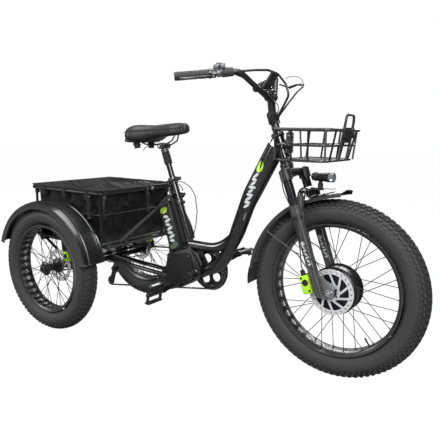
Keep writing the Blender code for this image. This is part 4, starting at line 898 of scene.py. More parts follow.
def chainring():
    """Guard disc with five round windows, the toothed ring inside it, and five bolts."""
    windows = [pin(polar(CRANK_AXIS, 0.052, math.tau * (k + 0.5) / 5 + CRANK_ANGLE, CHAIN_Y),
                   Y, -0.02, 0.02, 0.0215, sides=16) for k in range(5)]
    section = [(0.0083, 0.0664), (0.030, 0.0664), (0.034, 0.0672), (0.0985, 0.0672),
               (0.1022, 0.0678), (0.1028, 0.0690), (0.1022, 0.0701), (0.0985, 0.0705),
               (0.034, 0.0705), (0.030, 0.0738), (0.0083, 0.0738)]
    disc = turned(section, CRANK_AXIS, steps=128)
    add("chainring", combine([disc], cut=[merged(windows)]), BLACK_METAL, angle=30)
    teeth = toothed(CRANK_AXIS, 0.0606, 0.0634, 0.0906, 46, depth=0.0052, bore=0.0745)
    extra("ring_teeth", teeth, DARK_STEEL, "chainring", angle=25)
    bolts = []
    for k in range(5):
        angle = CRANK_ANGLE + math.tau * k / 5
        bolts.append(rod(polar(CRANK_AXIS, 0.0790, angle, 0.0606),
                         polar(CRANK_AXIS, 0.0790, angle, 0.0722), 0.0048, sides=18))
    extra("ring_bolts", merged(bolts), STEEL, "chainring")


def crank(name, side, angle, spindle_end):
    """Arm with bosses, its pedal axle and its spindle; returns the pedal end."""
    inner, outer = 0.092, 0.106
    out = Vector((math.cos(angle), 0, math.sin(angle)))
    end = CRANK_AXIS + out * CRANK_LEN
    near, far = side * inner, side * outer
    middle = Vector((0, (near + far) / 2, 0))
    parts = [
        pin(CRANK_AXIS, Y, near, far, 0.019, sides=32),
        pin(end, Y, near, far, 0.0135, sides=24),
        bar(CRANK_AXIS + middle + out * 0.006, end + middle - out * 0.004,
            outer - inner - 0.001, 0.022, 0.003),
        pin(end, Y, near + side * 0.002, side * 0.212, 0.0050, sides=20),
        pin(CRANK_AXIS, Y, far - side * 0.002, spindle_end, 0.0080, sides=24)]
    add(f"crank_{name}", combine(parts), BLACK_METAL, bevel=0.0008)
    return end


def pedal(name, crank_end, side, tilt):
    """Cage pedal with pale strips fore and aft, pins and an end cap."""
    node = f"pedal_{name}"
    centre = crank_end + Vector((0, side * 0.163, 0))
    long = Vector((math.cos(tilt), 0, math.sin(tilt)))
    tall = Vector((-math.sin(tilt), 0, math.cos(tilt)))
    axes = (long, Y, tall)
    parts = [pin(centre, Y, -0.049, 0.049, 0.0105, sides=20)]
    for s in BOTH:
        parts.append(block(centre + long * s * 0.040, (0.006, 0.096, 0.024), axes=axes))
        parts.append(block(centre + Y * s * 0.043, (0.084, 0.006, 0.014), axes=axes))
    bore = pin(centre, Y, -0.06, 0.06, 0.0058, sides=20)
    add(node, combine(parts, cut=[bore]), PLASTIC, bevel=0.0010)
    strips = [block(centre + long * s * 0.0424, (0.0022, 0.052, 0.0125), 0.0008, axes)
              for s in BOTH]
    extra(f"pedal_reflectors_{name}", merged(strips), WHITE, node)
    pins = [pin(centre + long * s * 0.040 + Y * (k - 4) * 0.0105, tall * u,
                0.0110, 0.0138, 0.0019, 0.0010, sides=8)
            for s in BOTH for k in range(9) for u in BOTH]
    extra(f"pedal_pins_{name}", merged(pins), PLASTIC, node)
    extra(f"pedal_cap_{name}", pin(centre, Y * side, 0.0485, 0.0520, 0.0085, 0.0070, 24),
          PLASTIC, node)


def cranks_and_pedals():
    right_end = crank("right", -1, CRANK_ANGLE, 0.0755)
    left_end = crank("left", 1, CRANK_ANGLE + math.pi, 0.0763)
    pedal("right", right_end, -1, math.radians(80))
    pedal("left", left_end, 1, math.radians(8))


UPPER_PULLEY = Vector((0.022, CHAIN_Y, 0.215))
LOWER_PULLEY = Vector((-0.008, CHAIN_Y, 0.140))


def belt(circles, steps):
    """Centre line of a belt round circles (x, z, radius, turn), turn +1 anticlockwise
    seen with x right and z up."""
    count = len(circles)
    ends = []
    for k in range(count):
        x0, z0, r0, turn0 = circles[k]
        x1, z1, r1, turn1 = circles[(k + 1) % count]
        dx, dz = x1 - x0, z1 - z0
        # the tangent line keeps both signed radii on the same side
        lean = math.asin((r0 * turn0 - r1 * turn1) / math.hypot(dx, dz))
        heading = math.atan2(dz, dx) + lean
        nx, nz = math.sin(heading), -math.cos(heading)
        ends.append(((x0 + nx * r0 * turn0, z0 + nz * r0 * turn0),
                     (x1 + nx * r1 * turn1, z1 + nz * r1 * turn1)))
    out = []
    for k in range(count):
        x, z, radius, turn = circles[k]
        arrive, leave = ends[k - 1][1], ends[k][0]
        first = math.atan2(arrive[1] - z, arrive[0] - x)
        last = math.atan2(leave[1] - z, leave[0] - x)
        sweep = (last - first) * turn % math.tau
        pieces = max(2, round(steps * sweep / math.tau))
        for j in range(pieces + 1):
            angle = first + turn * sweep * j / pieces
            out.append(Vector((x + radius * math.cos(angle), CHAIN_Y,
                               z + radius * math.sin(angle))))
    return out


def walk(path, step):
    """Evenly spaced points round a closed polyline, an even number of them."""
    count = len(path)
    lengths = [(path[(k + 1) % count] - path[k]).length for k in range(count)]
    total = sum(lengths)
    stops = 2 * round(total / step / 2)
    out, k, done = [], 0, 0.0
    for j in range(stops):
        reach = total * j / stops
        while done + lengths[k] < reach:
            done += lengths[k]
            k += 1
        out.append(path[k].lerp(path[(k + 1) % count], (reach - done) / lengths[k]))
    return out


def slab(outline, y0, y1):
    """Outline of points in an XZ plane, made into a closed plate between two y levels."""
    bm = bmesh.new()
    near = [bm.verts.new((p.x, y0, p.z)) for p in outline]
    far = [bm.verts.new((p.x, y1, p.z)) for p in outline]
    count = len(outline)
    bm.faces.new(near)
    bm.faces.new(far[::-1])
    for k in range(count):
        after = (k + 1) % count
        bm.faces.new((near[k], far[k], far[after], near[after]))
    return from_bm(bm)


def link_outline(start, end):
    """Waisted chain plate round two pins."""
    along = (end - start).normalized()
    across = Vector((-along.z, 0, along.x))
    line = []
    for pin_at, sign in ((end, 1), (start, -1)):
        for k in range(7):
            t = math.pi * k / 6
            line.append(pin_at + (along * math.sin(t) + across * math.cos(t))
                        * 0.0041 * sign)
        line.append((start + end) / 2 - across * sign * 0.0027)
    return line


def chain():
    """Links with alternating wide and narrow plates, round the ring, a cog and the pulleys."""
    path = belt([
        (BB_X, BB_Z, RING_R + CHAIN_HALF + 0.0010, 1),
        (0, REAR_R, COG_R + CHAIN_HALF + 0.0010, 1),
        (UPPER_PULLEY.x, UPPER_PULLEY.z, PULLEY_R + CHAIN_HALF + 0.0006, -1),
        (LOWER_PULLEY.x, LOWER_PULLEY.z, PULLEY_R + CHAIN_HALF + 0.0006, 1)], 28)
    stops = walk(path, 0.0127)
    links, rollers = [], []
    for j, point in enumerate(stops):
        line = link_outline(point, stops[(j + 1) % len(stops)])
        inner = 0.0034 if j % 2 else 0.0023
        for s in BOTH:
            links.append(slab(line, CHAIN_Y + s * inner, CHAIN_Y + s * (inner + 0.0008)))
        rollers.append(pin(point, Y, -0.0043, 0.0043, 0.0016, sides=8))
        rollers.append(pin(point, Y, -0.0021, 0.0021, 0.0033, sides=12))
    add("chain", merged(links), DARK_STEEL, angle=30)
    extra("chain_rollers", merged(rollers), STEEL, "chain")


def derailleur():
    pulleys = (UPPER_PULLEY, LOWER_PULLEY)
    cage = [bar((UPPER_PULLEY.x, y, UPPER_PULLEY.z + 0.010),
                (LOWER_PULLEY.x, y, LOWER_PULLEY.z - 0.012), 0.0022, 0.020)
            for y in (CHAIN_Y - 0.0065, CHAIN_Y + 0.0065)]
    for centre in pulleys:
        cage.append(pin(centre, Y, -0.0022, 0.0022, PULLEY_R, sides=24))
        cage.append(pin(centre, Y, -0.009, 0.009, 0.0040, sides=16))
    add("derailleur_cage", combine(cage), BLACK_METAL)
    wheels = [toothed(centre, CHAIN_Y - 0.0012, CHAIN_Y + 0.0012, 0.0222, 11, depth=0.0050)
              for centre in pulleys]
    extra("pulleys", merged(wheels), PLASTIC, "derailleur_cage", angle=25)
    spring = [(0.050, 0.0475, 0.240), (0.040, 0.0515, 0.230), (0.026, 0.0515, 0.219)]
    extra("derailleur_spring", pipe(spring, 0.0035), DARK_STEEL, "derailleur_body")
    add("derailleur_body", combine([
        bar((0.052, 0.040, 0.242), (0.022, 0.046, 0.2155), 0.012, 0.022, 0.003),
        rod((0.022, 0.042, 0.215), (0.022, 0.0526, 0.215), 0.011, sides=20),
        rod((0.054, 0.0300, 0.246), (0.054, 0.0455, 0.246), 0.010, sides=20)]), BLACK_METAL)


# ------------------------------------------------------------------ frame
def seat_tube():
    """Seat tube with a thicker collar at the top."""
    collar_low, top = rise(0.310, 0.712), rise(0.310, 0.7375)
    return turned([(0.0, 0.0), (SEAT_TUBE_R, 0.0), (SEAT_TUBE_R, collar_low),
                   (0.0225, collar_low), (0.0225, top), (0.0, top)],
                  seat_at(0.310), SLOPE, steps=48)


def head_tube():
    """Head tube with a thicker lip at each end."""
    foot = 0.818
    section = [(0.0265, 0.829), (0.0225, 0.833), (0.0225, 0.933), (0.0265, 0.937),
               (0.0265, 0.950)]      # radius, height
    return turned([(0.0, 0.0), (0.0265, 0.0), *[(r, rise(foot, z)) for r, z in section],
                   (0.0, rise(foot, 0.950))], steer_at(foot), SLOPE, steps=48)


def main_frame():
    down = fillet([(1.016, 0, 0.898), (0.894, 0, 0.672), (0.832, 0, 0.505),
                   (0.752, 0, 0.354), (BB_X, 0, BB_Z + 0.002)], [0, 0.5, 0.5, 0.16, 0],
                  steps=8)
    widths = [1.0 - 0.36 * k / (len(down) - 1) for k in range(len(down))]
    upper = fillet([(seat_at(0.434).x, 0, 0.434), (0.742, 0, 0.434), (0.836, 0, 0.512),
                    (0.880, 0, 0.628)], [0, 0.16, 0.16, 0], steps=8)
    housing = [behind_seat(0.420, 0.118), behind_seat(0.420, -0.016), (0.668, 0, 0.330),
               (0.655, 0, 0.286), (0.560, 0, 0.232), (0.478, 0, 0.205), (0.452, 0, 0.222)]
    clamp = behind_seat(0.7240, -0.0330)
    parts = [
        seat_tube(),
        pipe(down, 0.0400, radii=widths, resolution=4, squash=0.80),
        pipe(upper, 0.0225, resolution=4, squash=0.93),
        head_tube(),
        pin(CRANK_AXIS, Y, -0.0500, 0.0500, 0.0238, sides=30),
        plate(xz(housing), 0.0420),
        sloped(behind_seat(0.7240, -0.0277), (0.0266, 0.0208, 0.0150)),
        pin(clamp, Y, -0.0060, -0.0121, 0.0043, sides=16)]
    for s in BOTH:
        parts.append(rod((0.500, s * 0.036, 0.272), (0.0925, s * 0.036, 0.2935), 0.0105,
                         sides=20))
        stay = [(seat_at(0.668).x + 0.0011, s * 0.0043, 0.6681),
                (seat_at(0.660).x, s * 0.0575, 0.660), (0.425, s * 0.062, 0.590),
                (0.2760, s * 0.150, 0.432)]
        parts.append(pipe(fillet(stay, 0.016, steps=4), 0.0085))
    bores = [rod(steer_at(0.80), steer_at(0.97), 0.0149, sides=32),
             rod(seat_at(0.480), seat_at(0.760), SEAT_BORE_R, sides=32),
             pin(CRANK_AXIS, Y, -0.07, 0.07, 0.0086, sides=24)]
    add("frame", combine(parts, cut=bores), FRAME_DECAL, angle=34)


def frame_details():
    beads = []
    for place, radius in ((seat_at(0.452), SEAT_TUBE_R + 0.0006), (steer_at(0.826), 0.0272),
                          (steer_at(0.944), 0.0272)):
        beads.append(turned([(radius - 0.002, -0.0016), (radius + 0.0004, -0.0012),
                             (radius + 0.0009, 0.0), (radius + 0.0004, 0.0012),
                             (radius - 0.002, 0.0016)], place, SLOPE, steps=64))
    extra("head_rings", merged(beads), DARK_STEEL, "frame")
    cup = [(0.0090, 0.0500), (0.0215, 0.0500), (0.0225, 0.0510), (0.0215, 0.0535),
           (0.0090, 0.0535)]
    for s in BOTH:
        extra(f"bb_cup_{s + 1}", turned(sided(cup, s), CRANK_AXIS, steps=48), DARK_STEEL,
              "frame")
    corners = [(0.480, 0, 0.384), (0.614, 0, 0.405), (0.626, 0, 0.352), (0.628, 0, 0.288),
               (0.560, 0, 0.243), (0.486, 0, 0.218), (0.468, 0, 0.232)]
    cover = xz(fillet(corners, 0.016, steps=4))
    screws_at = [(0.492, 0.372), (0.604, 0.390), (0.616, 0.300), (0.556, 0.254),
                 (0.486, 0.236)]
    for s in BOTH:
        extra(f"controller_cover_{s + 1}", plate(cover, 0.0022, s * 0.0442), PLASTIC,
              "frame", bevel=0.0012)
        screws = [rod((x, s * 0.0455, z), (x, s * 0.0476, z), 0.0032, sides=16)
                  for x, z in screws_at]
        extra(f"cover_screws_{s + 1}", merged(screws), STEEL, "frame")


def seat_tube_box(foot, top, back, depth, width, bevel):
    """Box along the back of the seat tube between two heights."""
    centre = (behind_seat(foot, back) + behind_seat(top, back)) / 2
    return sloped(centre, (depth, width, (seat_at(top) - seat_at(foot)).length), bevel)


def battery():
    add("battery_rail", seat_tube_box(0.452, 0.700, 0.0240, 0.0116, 0.036, 0.002),
        BLACK_METAL)
    top = 0.645
    loop = [behind_seat(top - 0.004, 0.045), behind_seat(top + 0.018, 0.045),
            behind_seat(top + 0.018, 0.084), behind_seat(top - 0.004, 0.084)]
    case = [seat_tube_box(0.432, top, 0.0645, 0.0680, 0.084, 0.008),
            pipe(fillet(loop, 0.008, steps=4), 0.0050)]
    add("battery_case", combine(case), PLASTIC, bevel=0.0010)
    for s in BOTH:
        label = sloped(behind_seat(0.5275, 0.0655, s * 0.0423), (0.056, 0.0010, 0.200))
        extra(f"battery_label_{s + 1}", label, LABEL, "battery_case", bevel=0.0004)
    for k in range(4):
        rib = sloped(behind_seat(0.452 + 0.006 * k, 0.0645), (0.0692, 0.0850, 0.0022))
        extra(f"battery_rib_{k}", rib, PLASTIC, "battery_case", bevel=0.0006)
    port = rod(behind_seat(0.470, 0.078, 0.0415), behind_seat(0.470, 0.078, 0.0440), 0.0085)
    extra("battery_port", port, CABLE, "battery_case", bevel=0.0005)
    lock = behind_seat(0.455, 0.064, -0.0423)
    add("battery_lock", combine([
        rod(lock, lock + Vector((0, -0.003, 0)), 0.0080, sides=24),
        sloped(lock + Vector((0, -0.0045, 0)), (0.003, 0.005, 0.011))]), CHROME,
        bevel=0.0004)


def seat_clamp():
    centre = behind_seat(0.7240, -0.0330, -0.0194)
    lever = centre + Vector((0, -0.0074, 0))
    add("seat_clamp_lever", combine([
        pin(centre, SLOPE, -0.0055, 0.0055, 0.0067, sides=20),
        bar(lever + AHEAD * 0.005, lever - AHEAD * 0.052, 0.005, 0.010, 0.0015)]),
        BLACK_METAL, bevel=0.0006)


# ------------------------------------------------------------------ rear subframe
STAY_X = 0.150            # fender stays, fore and aft of the axle


def rear_subframe():
    rail_z = FLOOR_Z - 0.0075 - GAP - 0.0095
    parts = [rod((0.076, -0.236, 0.2990), (0.076, 0.236, 0.2990), 0.0127, sides=24)]
    for x in (BACK - 0.006, 0.040, FRONT - 0.0005):
        parts.append(rod((x, -0.2236, rail_z - 0.0006), (x, 0.2236, rail_z - 0.0006),
                         0.0086, sides=22))
    axle_plate = [(-0.034, 0.272), (0.092, 0.272), (0.098, 0.330), (0.060, 0.412),
                  (-0.050, 0.412), (-0.040, 0.330)]
    for s in BOTH:
        parts.append(rod((BACK - 0.014, s * 0.220, rail_z), (FRONT + 0.003, s * 0.220, rail_z),
                         0.0095, sides=20))
        parts.append(plate(axle_plate, 0.0030, s * 0.2300))
        parts.append(rod((BACK + 0.010, s * 0.220, rail_z), (-0.020, s * 0.2280, 0.318),
                         0.0070, sides=16))
        for x in (-STAY_X, STAY_X):
            parts.append(rod((x, s * 0.216, rail_z), (x, s * 0.2690, rail_z - 0.002),
                             0.0060, sides=16))
            parts.append(bar((x, s * 0.2690, rail_z - 0.008), (x, s * 0.2690, 0.572),
                             0.0032, 0.018))
            parts.append(rod((x, s * 0.2690, 0.560), (x, s * 0.2746, 0.560), 0.0055,
                             sides=16))
    hanger = [(0.0655, 0.301), (0.0885, 0.303), (0.070, 0.238), (0.044, 0.2365)]
    parts.append(plate(hanger, 0.0031, 0.0266))
    holes = [rod((0, s * 0.20, REAR_R), (0, s * 0.26, REAR_R), 0.0110, sides=24)
             for s in BOTH]
    add("rear_subframe", combine(parts, cut=holes), FRAME_PAINT)


def bearing_and_caliper(side, name):
    section = [(AXLE_R + 0.0004, 0.2105), (0.022, 0.2105), (0.025, 0.2140),
               (0.025, 0.2267), (AXLE_R + 0.0004, 0.2267)]
    add(f"axle_bearing_{name}", turned(sided(section, side), REAR_AXLE, steps=60), STEEL)
    body = [block((0.060, side * 0.2850, 0.353), (0.040, 0.026, 0.044), 0.004),
            block((0.072, side * 0.2545, 0.352), (0.016, 0.0426, 0.026), 0.002)]
    disc_slot = block((0.0285, side * (HALF_TRACK - 0.0520), 0.3330),
                      (0.0960, 0.0050, 0.0760))
    add(f"rear_caliper_{name}", combine(body, cut=[disc_slot]), LIME)
    bolts = [rod((0.060 + dx, side * 0.2978, 0.353 + dz),
                 (0.060 + dx, side * 0.3004, 0.353 + dz), 0.0036, sides=16)
             for dx, dz in ((-0.012, 0.013), (0.012, -0.013), (-0.012, -0.013))]
    bolts.append(rod((0.060, side * 0.2975, 0.356), (0.060, side * 0.3010, 0.356), 0.0100))
    extra(f"caliper_bolts_{name}", merged(bolts), DARK_STEEL, f"rear_caliper_{name}",
          bevel=0.0004)


def rear_fender(side, name):
    """Arch over the wheel, its edge lower on the outer side, with rolled ends."""
    middle, half_width = side * HALF_TRACK, 0.0625
    inner_edge, outer_edge = 0.2965, 0.2865
    right_edge, left_edge = (inner_edge, outer_edge)[::side]
    outside, inside = [], []
    for k in range(25):
        u = -1 + 2 * k / 24
        groove = 0.0032 if 0.52 < abs(u) < 0.70 else 0.0
        radius = 0.3222 - 0.0095 * abs(u) ** 3 - groove
        outside.append((radius, middle + u * half_width))
        inside.append((radius - 0.0026, middle + u * (half_width - 0.0020)))
    low, high = middle - half_width, middle + half_width
    profile = ([(right_edge, low + 0.0022), (right_edge, low)] + outside
               + [(left_edge, high), (left_edge, high - 0.0022)] + inside[::-1])
    node = f"rear_fender_{name}"
    add(node, swept(profile, REAR_AXLE, math.radians(12), math.radians(161.5), 80),
        FENDER_PAINT, angle=30)
    rolls = [pipe([polar(REAR_AXLE, r - 0.0013, math.radians(end), y) for r, y in outside],
                  0.0024) for end in (12.0, 161.5)]
    extra(f"fender_rolls_{name}", merged(rolls), FENDER_PAINT, node)
    bolts = [rod((x, side * 0.2745, 0.560), (x, side * 0.2790, 0.560), 0.0048, sides=6)
             for x in (-STAY_X, STAY_X)]
    extra(f"fender_bolts_{name}", merged(bolts), STEEL, node, bevel=0.0005)


def rear_sides():
    for side, name in SIDES:
        bearing_and_caliper(side, name)
        rear_fender(side, name)


# ------------------------------------------------------- rear basket, bag and lid
CORNER = 0.022


def ring_path(x0, x1, half_width, z, radius):
    """Level rectangle with rounded corners."""
    return fillet([(x1, -half_width, z), (x1, half_width, z), (x0, half_width, z),
                   (x0, -half_width, z)], radius, steps=3, closed=True)


def rear_basket():
    tubes = [pipe(ring_path(BACK, FRONT, HALF, z, CORNER), 0.0075, closed=True)
             for z in (FLOOR_Z, TOP_Z)]
    inset = CORNER * (1 - math.sqrt(0.5))      # uprights stand on the corner arcs
    for x in (BACK + inset, FRONT - inset):
        for s in BOTH:
            y = s * (HALF - inset)
            tubes.append(rod((x, y, FLOOR_Z), (x, y, TOP_Z), 0.0062, sides=16))
    tubes.append(rod((BACK, 0, FLOOR_Z), (BACK, 0, TOP_Z), 0.0050, sides=16))
    add("rear_basket_frame", combine(tubes), BLACK_METAL)
    caps = [rod((BACK - 0.0075, s * (HALF - 0.004), TOP_Z),
                (BACK - 0.0145, s * (HALF - 0.004), TOP_Z), 0.0080, 0.0070, sides=20)
            for s in BOTH]
    extra("tube_caps", merged(caps), PLASTIC, "rear_basket_frame")


def rumple(point, size, strength, seed=0.0):
    """Soft folds: two scales of noise, as a signed distance."""
    place = Vector((point.x * size + seed, point.y * size, point.z * size))
    fine = noise.noise(place * 2.3 + Vector((7, 3, 1)))
    return strength * (noise.noise(place) + 0.45 * fine)


def hung(mesh, held, grow, frames=22):
    """Cloth held at some points, cut larger than its space by grow, and left to hang."""
    sheet = link(mesh, "cloth")
    group = sheet.vertex_groups.new(name="held")
    group.add([v.index for v in mesh.vertices if held(v.co)], 1.0, "REPLACE")
    cloth = sheet.modifiers.new("cloth", "CLOTH")
    settings = cloth.settings
    settings.vertex_group_mass = "held"
    settings.quality = 5
    settings.mass = 0.2
    settings.tension_stiffness = 30
    settings.compression_stiffness = 20
    settings.shear_stiffness = 10
    settings.bending_stiffness = 0.25
    settings.air_damping = 3
    settings.shrink_min = -grow
    cloth.collision_settings.use_collision = False
    cloth.point_cache.frame_start = 1
    cloth.point_cache.frame_end = frames
    scene = bpy.context.scene
    for frame in range(1, frames + 1):
        scene.frame_set(frame)
    final = baked(sheet)
    scene.frame_set(1)
    return final


def thick(mesh, wall):
    """Gives cloth its thickness, to one side."""
    sheet = link(mesh, "cloth")
    solid = sheet.modifiers.new("wall", "SOLIDIFY")
    solid.thickness = wall
    solid.offset = -1
    solid.use_rim = True
    return baked(sheet)


def bag_wall(x0, x1, half_width, z0, z1, corner, levels=26):
    """Open loop of rumpled cloth round the basket."""
    ring = fillet([(x1, -half_width, 0), (x1, half_width, 0), (x0, half_width, 0),
                   (x0, -half_width, 0)], corner, steps=5, closed=True)
    path = []
    for k, start in enumerate(ring):
        end = ring[(k + 1) % len(ring)]
        pieces = max(1, round((end - start).length / 0.0085))
        path += [start.lerp(end, j / pieces) for j in range(pieces)]
    rows = []
    for i in range(levels + 1):
        z = z0 + (z1 - z0) * i / levels
        slack = math.sin(math.pi * i / levels)
        row = []
        for k, place in enumerate(path):
            along = (path[(k + 1) % len(path)] - path[k - 1]).normalized()
            out = Vector((along.y, -along.x, 0))
            point = place + Vector((0, 0, z))
            row.append(point + out * (rumple(point, 9.0, 0.0040) - 0.0050) * slack)
        rows.append(row)
    return loft(rows, caps=False)


def bag():
    half_width = HALF - 0.0092
    low, high = FLOOR_Z - 0.004, TOP_Z - 0.0085

    def held(c):
        """Both edges, the seam and the corners."""
        at_edge = c.z < low + 0.004 or c.z > high - 0.004
        at_corner = (min(abs(c.x - FRONT), abs(c.x - BACK)) < 0.030
                     and abs(c.y) > half_width - 0.022)
        return at_edge or abs(c.z - 0.5600) < 0.0045 or at_corner

    walls = bag_wall(BACK + 0.0092, FRONT - 0.0092, half_width, low, high, 0.024)
    walls = hung(walls, held, 0.045)
    bottom = block(((BACK + FRONT) / 2, 0, FLOOR_Z + 0.0012),
                   (FRONT - BACK - 0.0250, 2 * half_width - 0.010, 0.0024))
    add("rear_basket_bag", merged([thick(walls, 0.0022), bottom]), FABRIC, angle=60)
    hem = ring_path(BACK + 0.0090, FRONT - 0.0090, HALF - 0.0090, TOP_Z - 0.0090, 0.022)
    extra("bag_hem", pipe(hem, 0.0026, closed=True), TRIM, "rear_basket_bag")
    seam = ring_path(BACK + 0.0088, FRONT - 0.0088, HALF - 0.0088, 0.5640, 0.022)
    extra("bag_piping", pipe(seam, 0.0021, closed=True, resolution=2), PIPING,
          "rear_basket_bag")


def bag_fittings():
    node = "rear_basket_frame"
    straps = []
    for x in (-0.130, 0.020, 0.175):
        for s in BOTH:
            straps += [
                block((x, s * (HALF + 0.0010), TOP_Z - 0.030), (0.030, 0.0180, 0.0010)),
                block((x, s * (HALF + 0.0096), TOP_Z - 0.006), (0.026, 0.0014, 0.052), 0.0005),
                block((x, s * (HALF - 0.0002), TOP_Z + 0.0092), (0.026, 0.0200, 0.0014),
                      0.0005)]
    for y in (-0.235, 0.200):
        for x in (FRONT + 0.0086, BACK - 0.0086):
            straps.append(block((x, y, TOP_Z - 0.006), (0.0014, 0.026, 0.050), 0.0005))
    extra("bag_straps", merged(straps), TRIM, node)
    buckles = [((0.0112, 0.046, 0.612), (0.0024, 0.016, 0.128), 0.0006),
               ((0.0135, 0.046, 0.628), (0.0060, 0.024, 0.030), 0.0012),
               ((0.0135, 0.046, 0.560), (0.0060, 0.022, 0.020), 0.0012),
               ((0.0112, -0.244, 0.600), (0.0024, 0.014, 0.110), 0.0006)]
    extra("bag_buckles", merged([block((FRONT + x, y, z), size, bevel)
                                 for (x, y, z), size, bevel in buckles]),
          PLASTIC, node, bevel=0.0005)
    knob = [rod((FRONT + 0.0060, 0.078, 0.6660), (FRONT + 0.0180, 0.078, 0.6660), 0.0100,
                sides=32),
            rod((FRONT + 0.0180, 0.078, 0.6660), (FRONT + 0.0200, 0.078, 0.6660), 0.0062)]
    extra("basket_knob", merged(knob), STEEL, node, bevel=0.0010)
    x, y, low, high = 0.197, -0.2640, 0.552, 0.652
    extra("strap_roll", merged([rod((x, y, low), (x, y, high), 0.0105)]), TRIM, node,
          bevel=0.0015)
    rings = [collar(0.0095, 0.0116, -0.003, 0.003, (x, y, z), UP, 40) for z in (low, high)]
    extra("strap_rings", merged(rings), DARK_STEEL, node)


def lid():
    """Domed, creased cloth over the opening, held round its edge and along a line across."""
    half_x, half_y = (FRONT - BACK + 0.024) / 2 - 0.001, HALF + 0.009
    middle = (BACK + FRONT) / 2 + 0.001
    count_x, count_y = 58, 62
    bm = bmesh.new()
    grid = {}
    for i in range(count_x + 1):
        for j in range(count_y + 1):
            u, w = -1 + 2 * i / count_x, -1 + 2 * j / count_y
            point = Vector((middle + u * half_x, w * half_y, 0))
            dome = 0.0130 * (1 - u * u) * (1 - w * w)
            ridge = math.exp(-((u - 0.55 - 0.10 * math.sin(3 * w)) / 0.10) ** 2)
            crease = math.exp(-((w + 0.35 + 0.12 * math.sin(4 * u)) / 0.09) ** 2)
            dome += 0.0075 * ridge * (1 - w ** 4) - 0.0050 * crease * (1 - u ** 4)
            loose = 1 - max(abs(u), abs(w)) ** 6
            folds = rumple(point, 7.0, 0.0085, 3.1) * loose
            grid[i, j] = bm.verts.new((point.x, point.y, TOP_Z + 0.0180 + dome + folds))
    for i in range(count_x):
        for j in range(count_y):
            bm.faces.new((grid[i, j], grid[i + 1, j], grid[i + 1, j + 1], grid[i, j + 1]))

    def held(c):
        at_edge = max(abs(c.x - middle) / half_x, abs(c.y) / half_y) > 0.97
        return at_edge or (abs(c.x - middle - 0.10) < 0.006 and abs(c.y) < 0.17)

    sheet = hung(from_bm(bm), held, 0.032)
    add("rear_basket_lid", thick(sheet, 0.0020), FABRIC, angle=60)
    edge = ring_path(middle - half_x + 0.002, middle + half_x - 0.002, half_y - 0.002,
                     TOP_Z + 0.0150, 0.010)
    extra("lid_piping", pipe(edge, 0.0042, closed=True), TRIM, "rear_basket_lid")
    z, tall = TOP_Z + 0.0095, 0.0120
    skirt = [block((middle, s * (half_y - 0.0012), z), (2 * half_x - 0.020, 0.0016, tall))
             for s in BOTH]
    skirt += [block((x, 0, z), (0.0016, 2 * half_y - 0.020, tall))
              for x in (middle - half_x + 0.0012, middle + half_x - 0.0012)]
    extra("lid_skirt", merged(skirt), TRIM, "rear_basket_lid", bevel=0.0004)


# ------------------------------------------------------------------ front basket
def front_basket():
    x0, x1, half, floor, top = (
        BASKET_BACK, BASKET_FRONT, BASKET_HALF, BASKET_FLOOR, BASKET_TOP)
    wires = [
        pipe(ring_path(x0, x1, half, top, 0.030), 0.0060, closed=True, resolution=2),
        pipe(ring_path(x0 + 0.007, x1 - 0.013, half - 0.008, (floor + top) / 2, 0.028),
             0.0045, closed=True, resolution=2),
        pipe(ring_path(x0 + 0.014, x1 - 0.026, half - 0.016, floor, 0.026), 0.0045,
             closed=True, resolution=2)]
    for t in (-0.55, 0.0, 0.55):
        for x_top, x_low in ((x0, x0 + 0.014), (x1, x1 - 0.026)):
            wires.append(rod((x_top, t * half * 1.2, top),
                             (x_low, t * (half - 0.016) * 1.2, floor), 0.0038, sides=8))
    for x in (x0 + 0.020, x0 + 0.087, x0 + 0.154, x0 + 0.221):
        for s in BOTH:
            wires.append(rod((x, s * half, top), (x - 0.006, s * (half - 0.016), floor),
                             0.0038, sides=8))
    wires.append(block((x0 + 0.0050, 0, 0.9135), (0.0040, 0.060, 0.080)))
    for z in (0.8800, 0.9180):
        wires.append(rod(steer_at(z) + Vector((0.0290, 0, 0)), (x0 + 0.006, 0, z), 0.0100,
                         sides=16))
    add("front_basket", combine(wires), BLACK_METAL, angle=50)

    grid = []
    for k in range(7):
        y = -0.105 + 0.035 * k
        grid.append(rod((x0 + 0.016, y, floor), (x1 - 0.028, y, floor), 0.0017, sides=10))
    for k in range(9):
        x = x0 + 0.030 + 0.0215 * k
        grid.append(rod((x, -half + 0.018, floor - 0.0028), (x, half - 0.018, floor - 0.0028),
                        0.0017, sides=10))
    extra("basket_floor", merged(grid), BLACK_METAL, "front_basket")
    bail = [(x1 - 0.022, -0.0240, floor), (x1 - 0.010, -0.0240, top - 0.050),
            (x1 + 0.002, -0.0220, top + 0.030), (x1 + 0.004, -0.0180, top + 0.056),
            (x1 + 0.004, 0.0560, top + 0.056), (x1 + 0.002, 0.0600, top + 0.030),
            (x1 - 0.010, 0.0620, top - 0.050), (x1 - 0.022, 0.0620, floor)]
    extra("basket_bail", pipe(fillet(bail, 0.020), 0.0050), BLACK_METAL, "front_basket")
    bracket = [
        block((x1 - 0.001, 0.0190, top - 0.010), (0.013, 0.100, 0.040), 0.003),
        block((x1 - 0.006, 0.0190, top - 0.038), (0.010, 0.070, 0.018), 0.002)]
    extra("bail_bracket", merged(bracket), PLASTIC, "front_basket", bevel=0.0008)
    bolts = [rod((x0 + 0.0065, s * 0.018, z), (x0 + 0.0110, s * 0.018, z), 0.0050, sides=6)
             for s in BOTH for z in (0.884, 0.900, 0.918, 0.940)]
    extra("basket_bolts", merged(bolts), STEEL, "front_basket", bevel=0.0004)


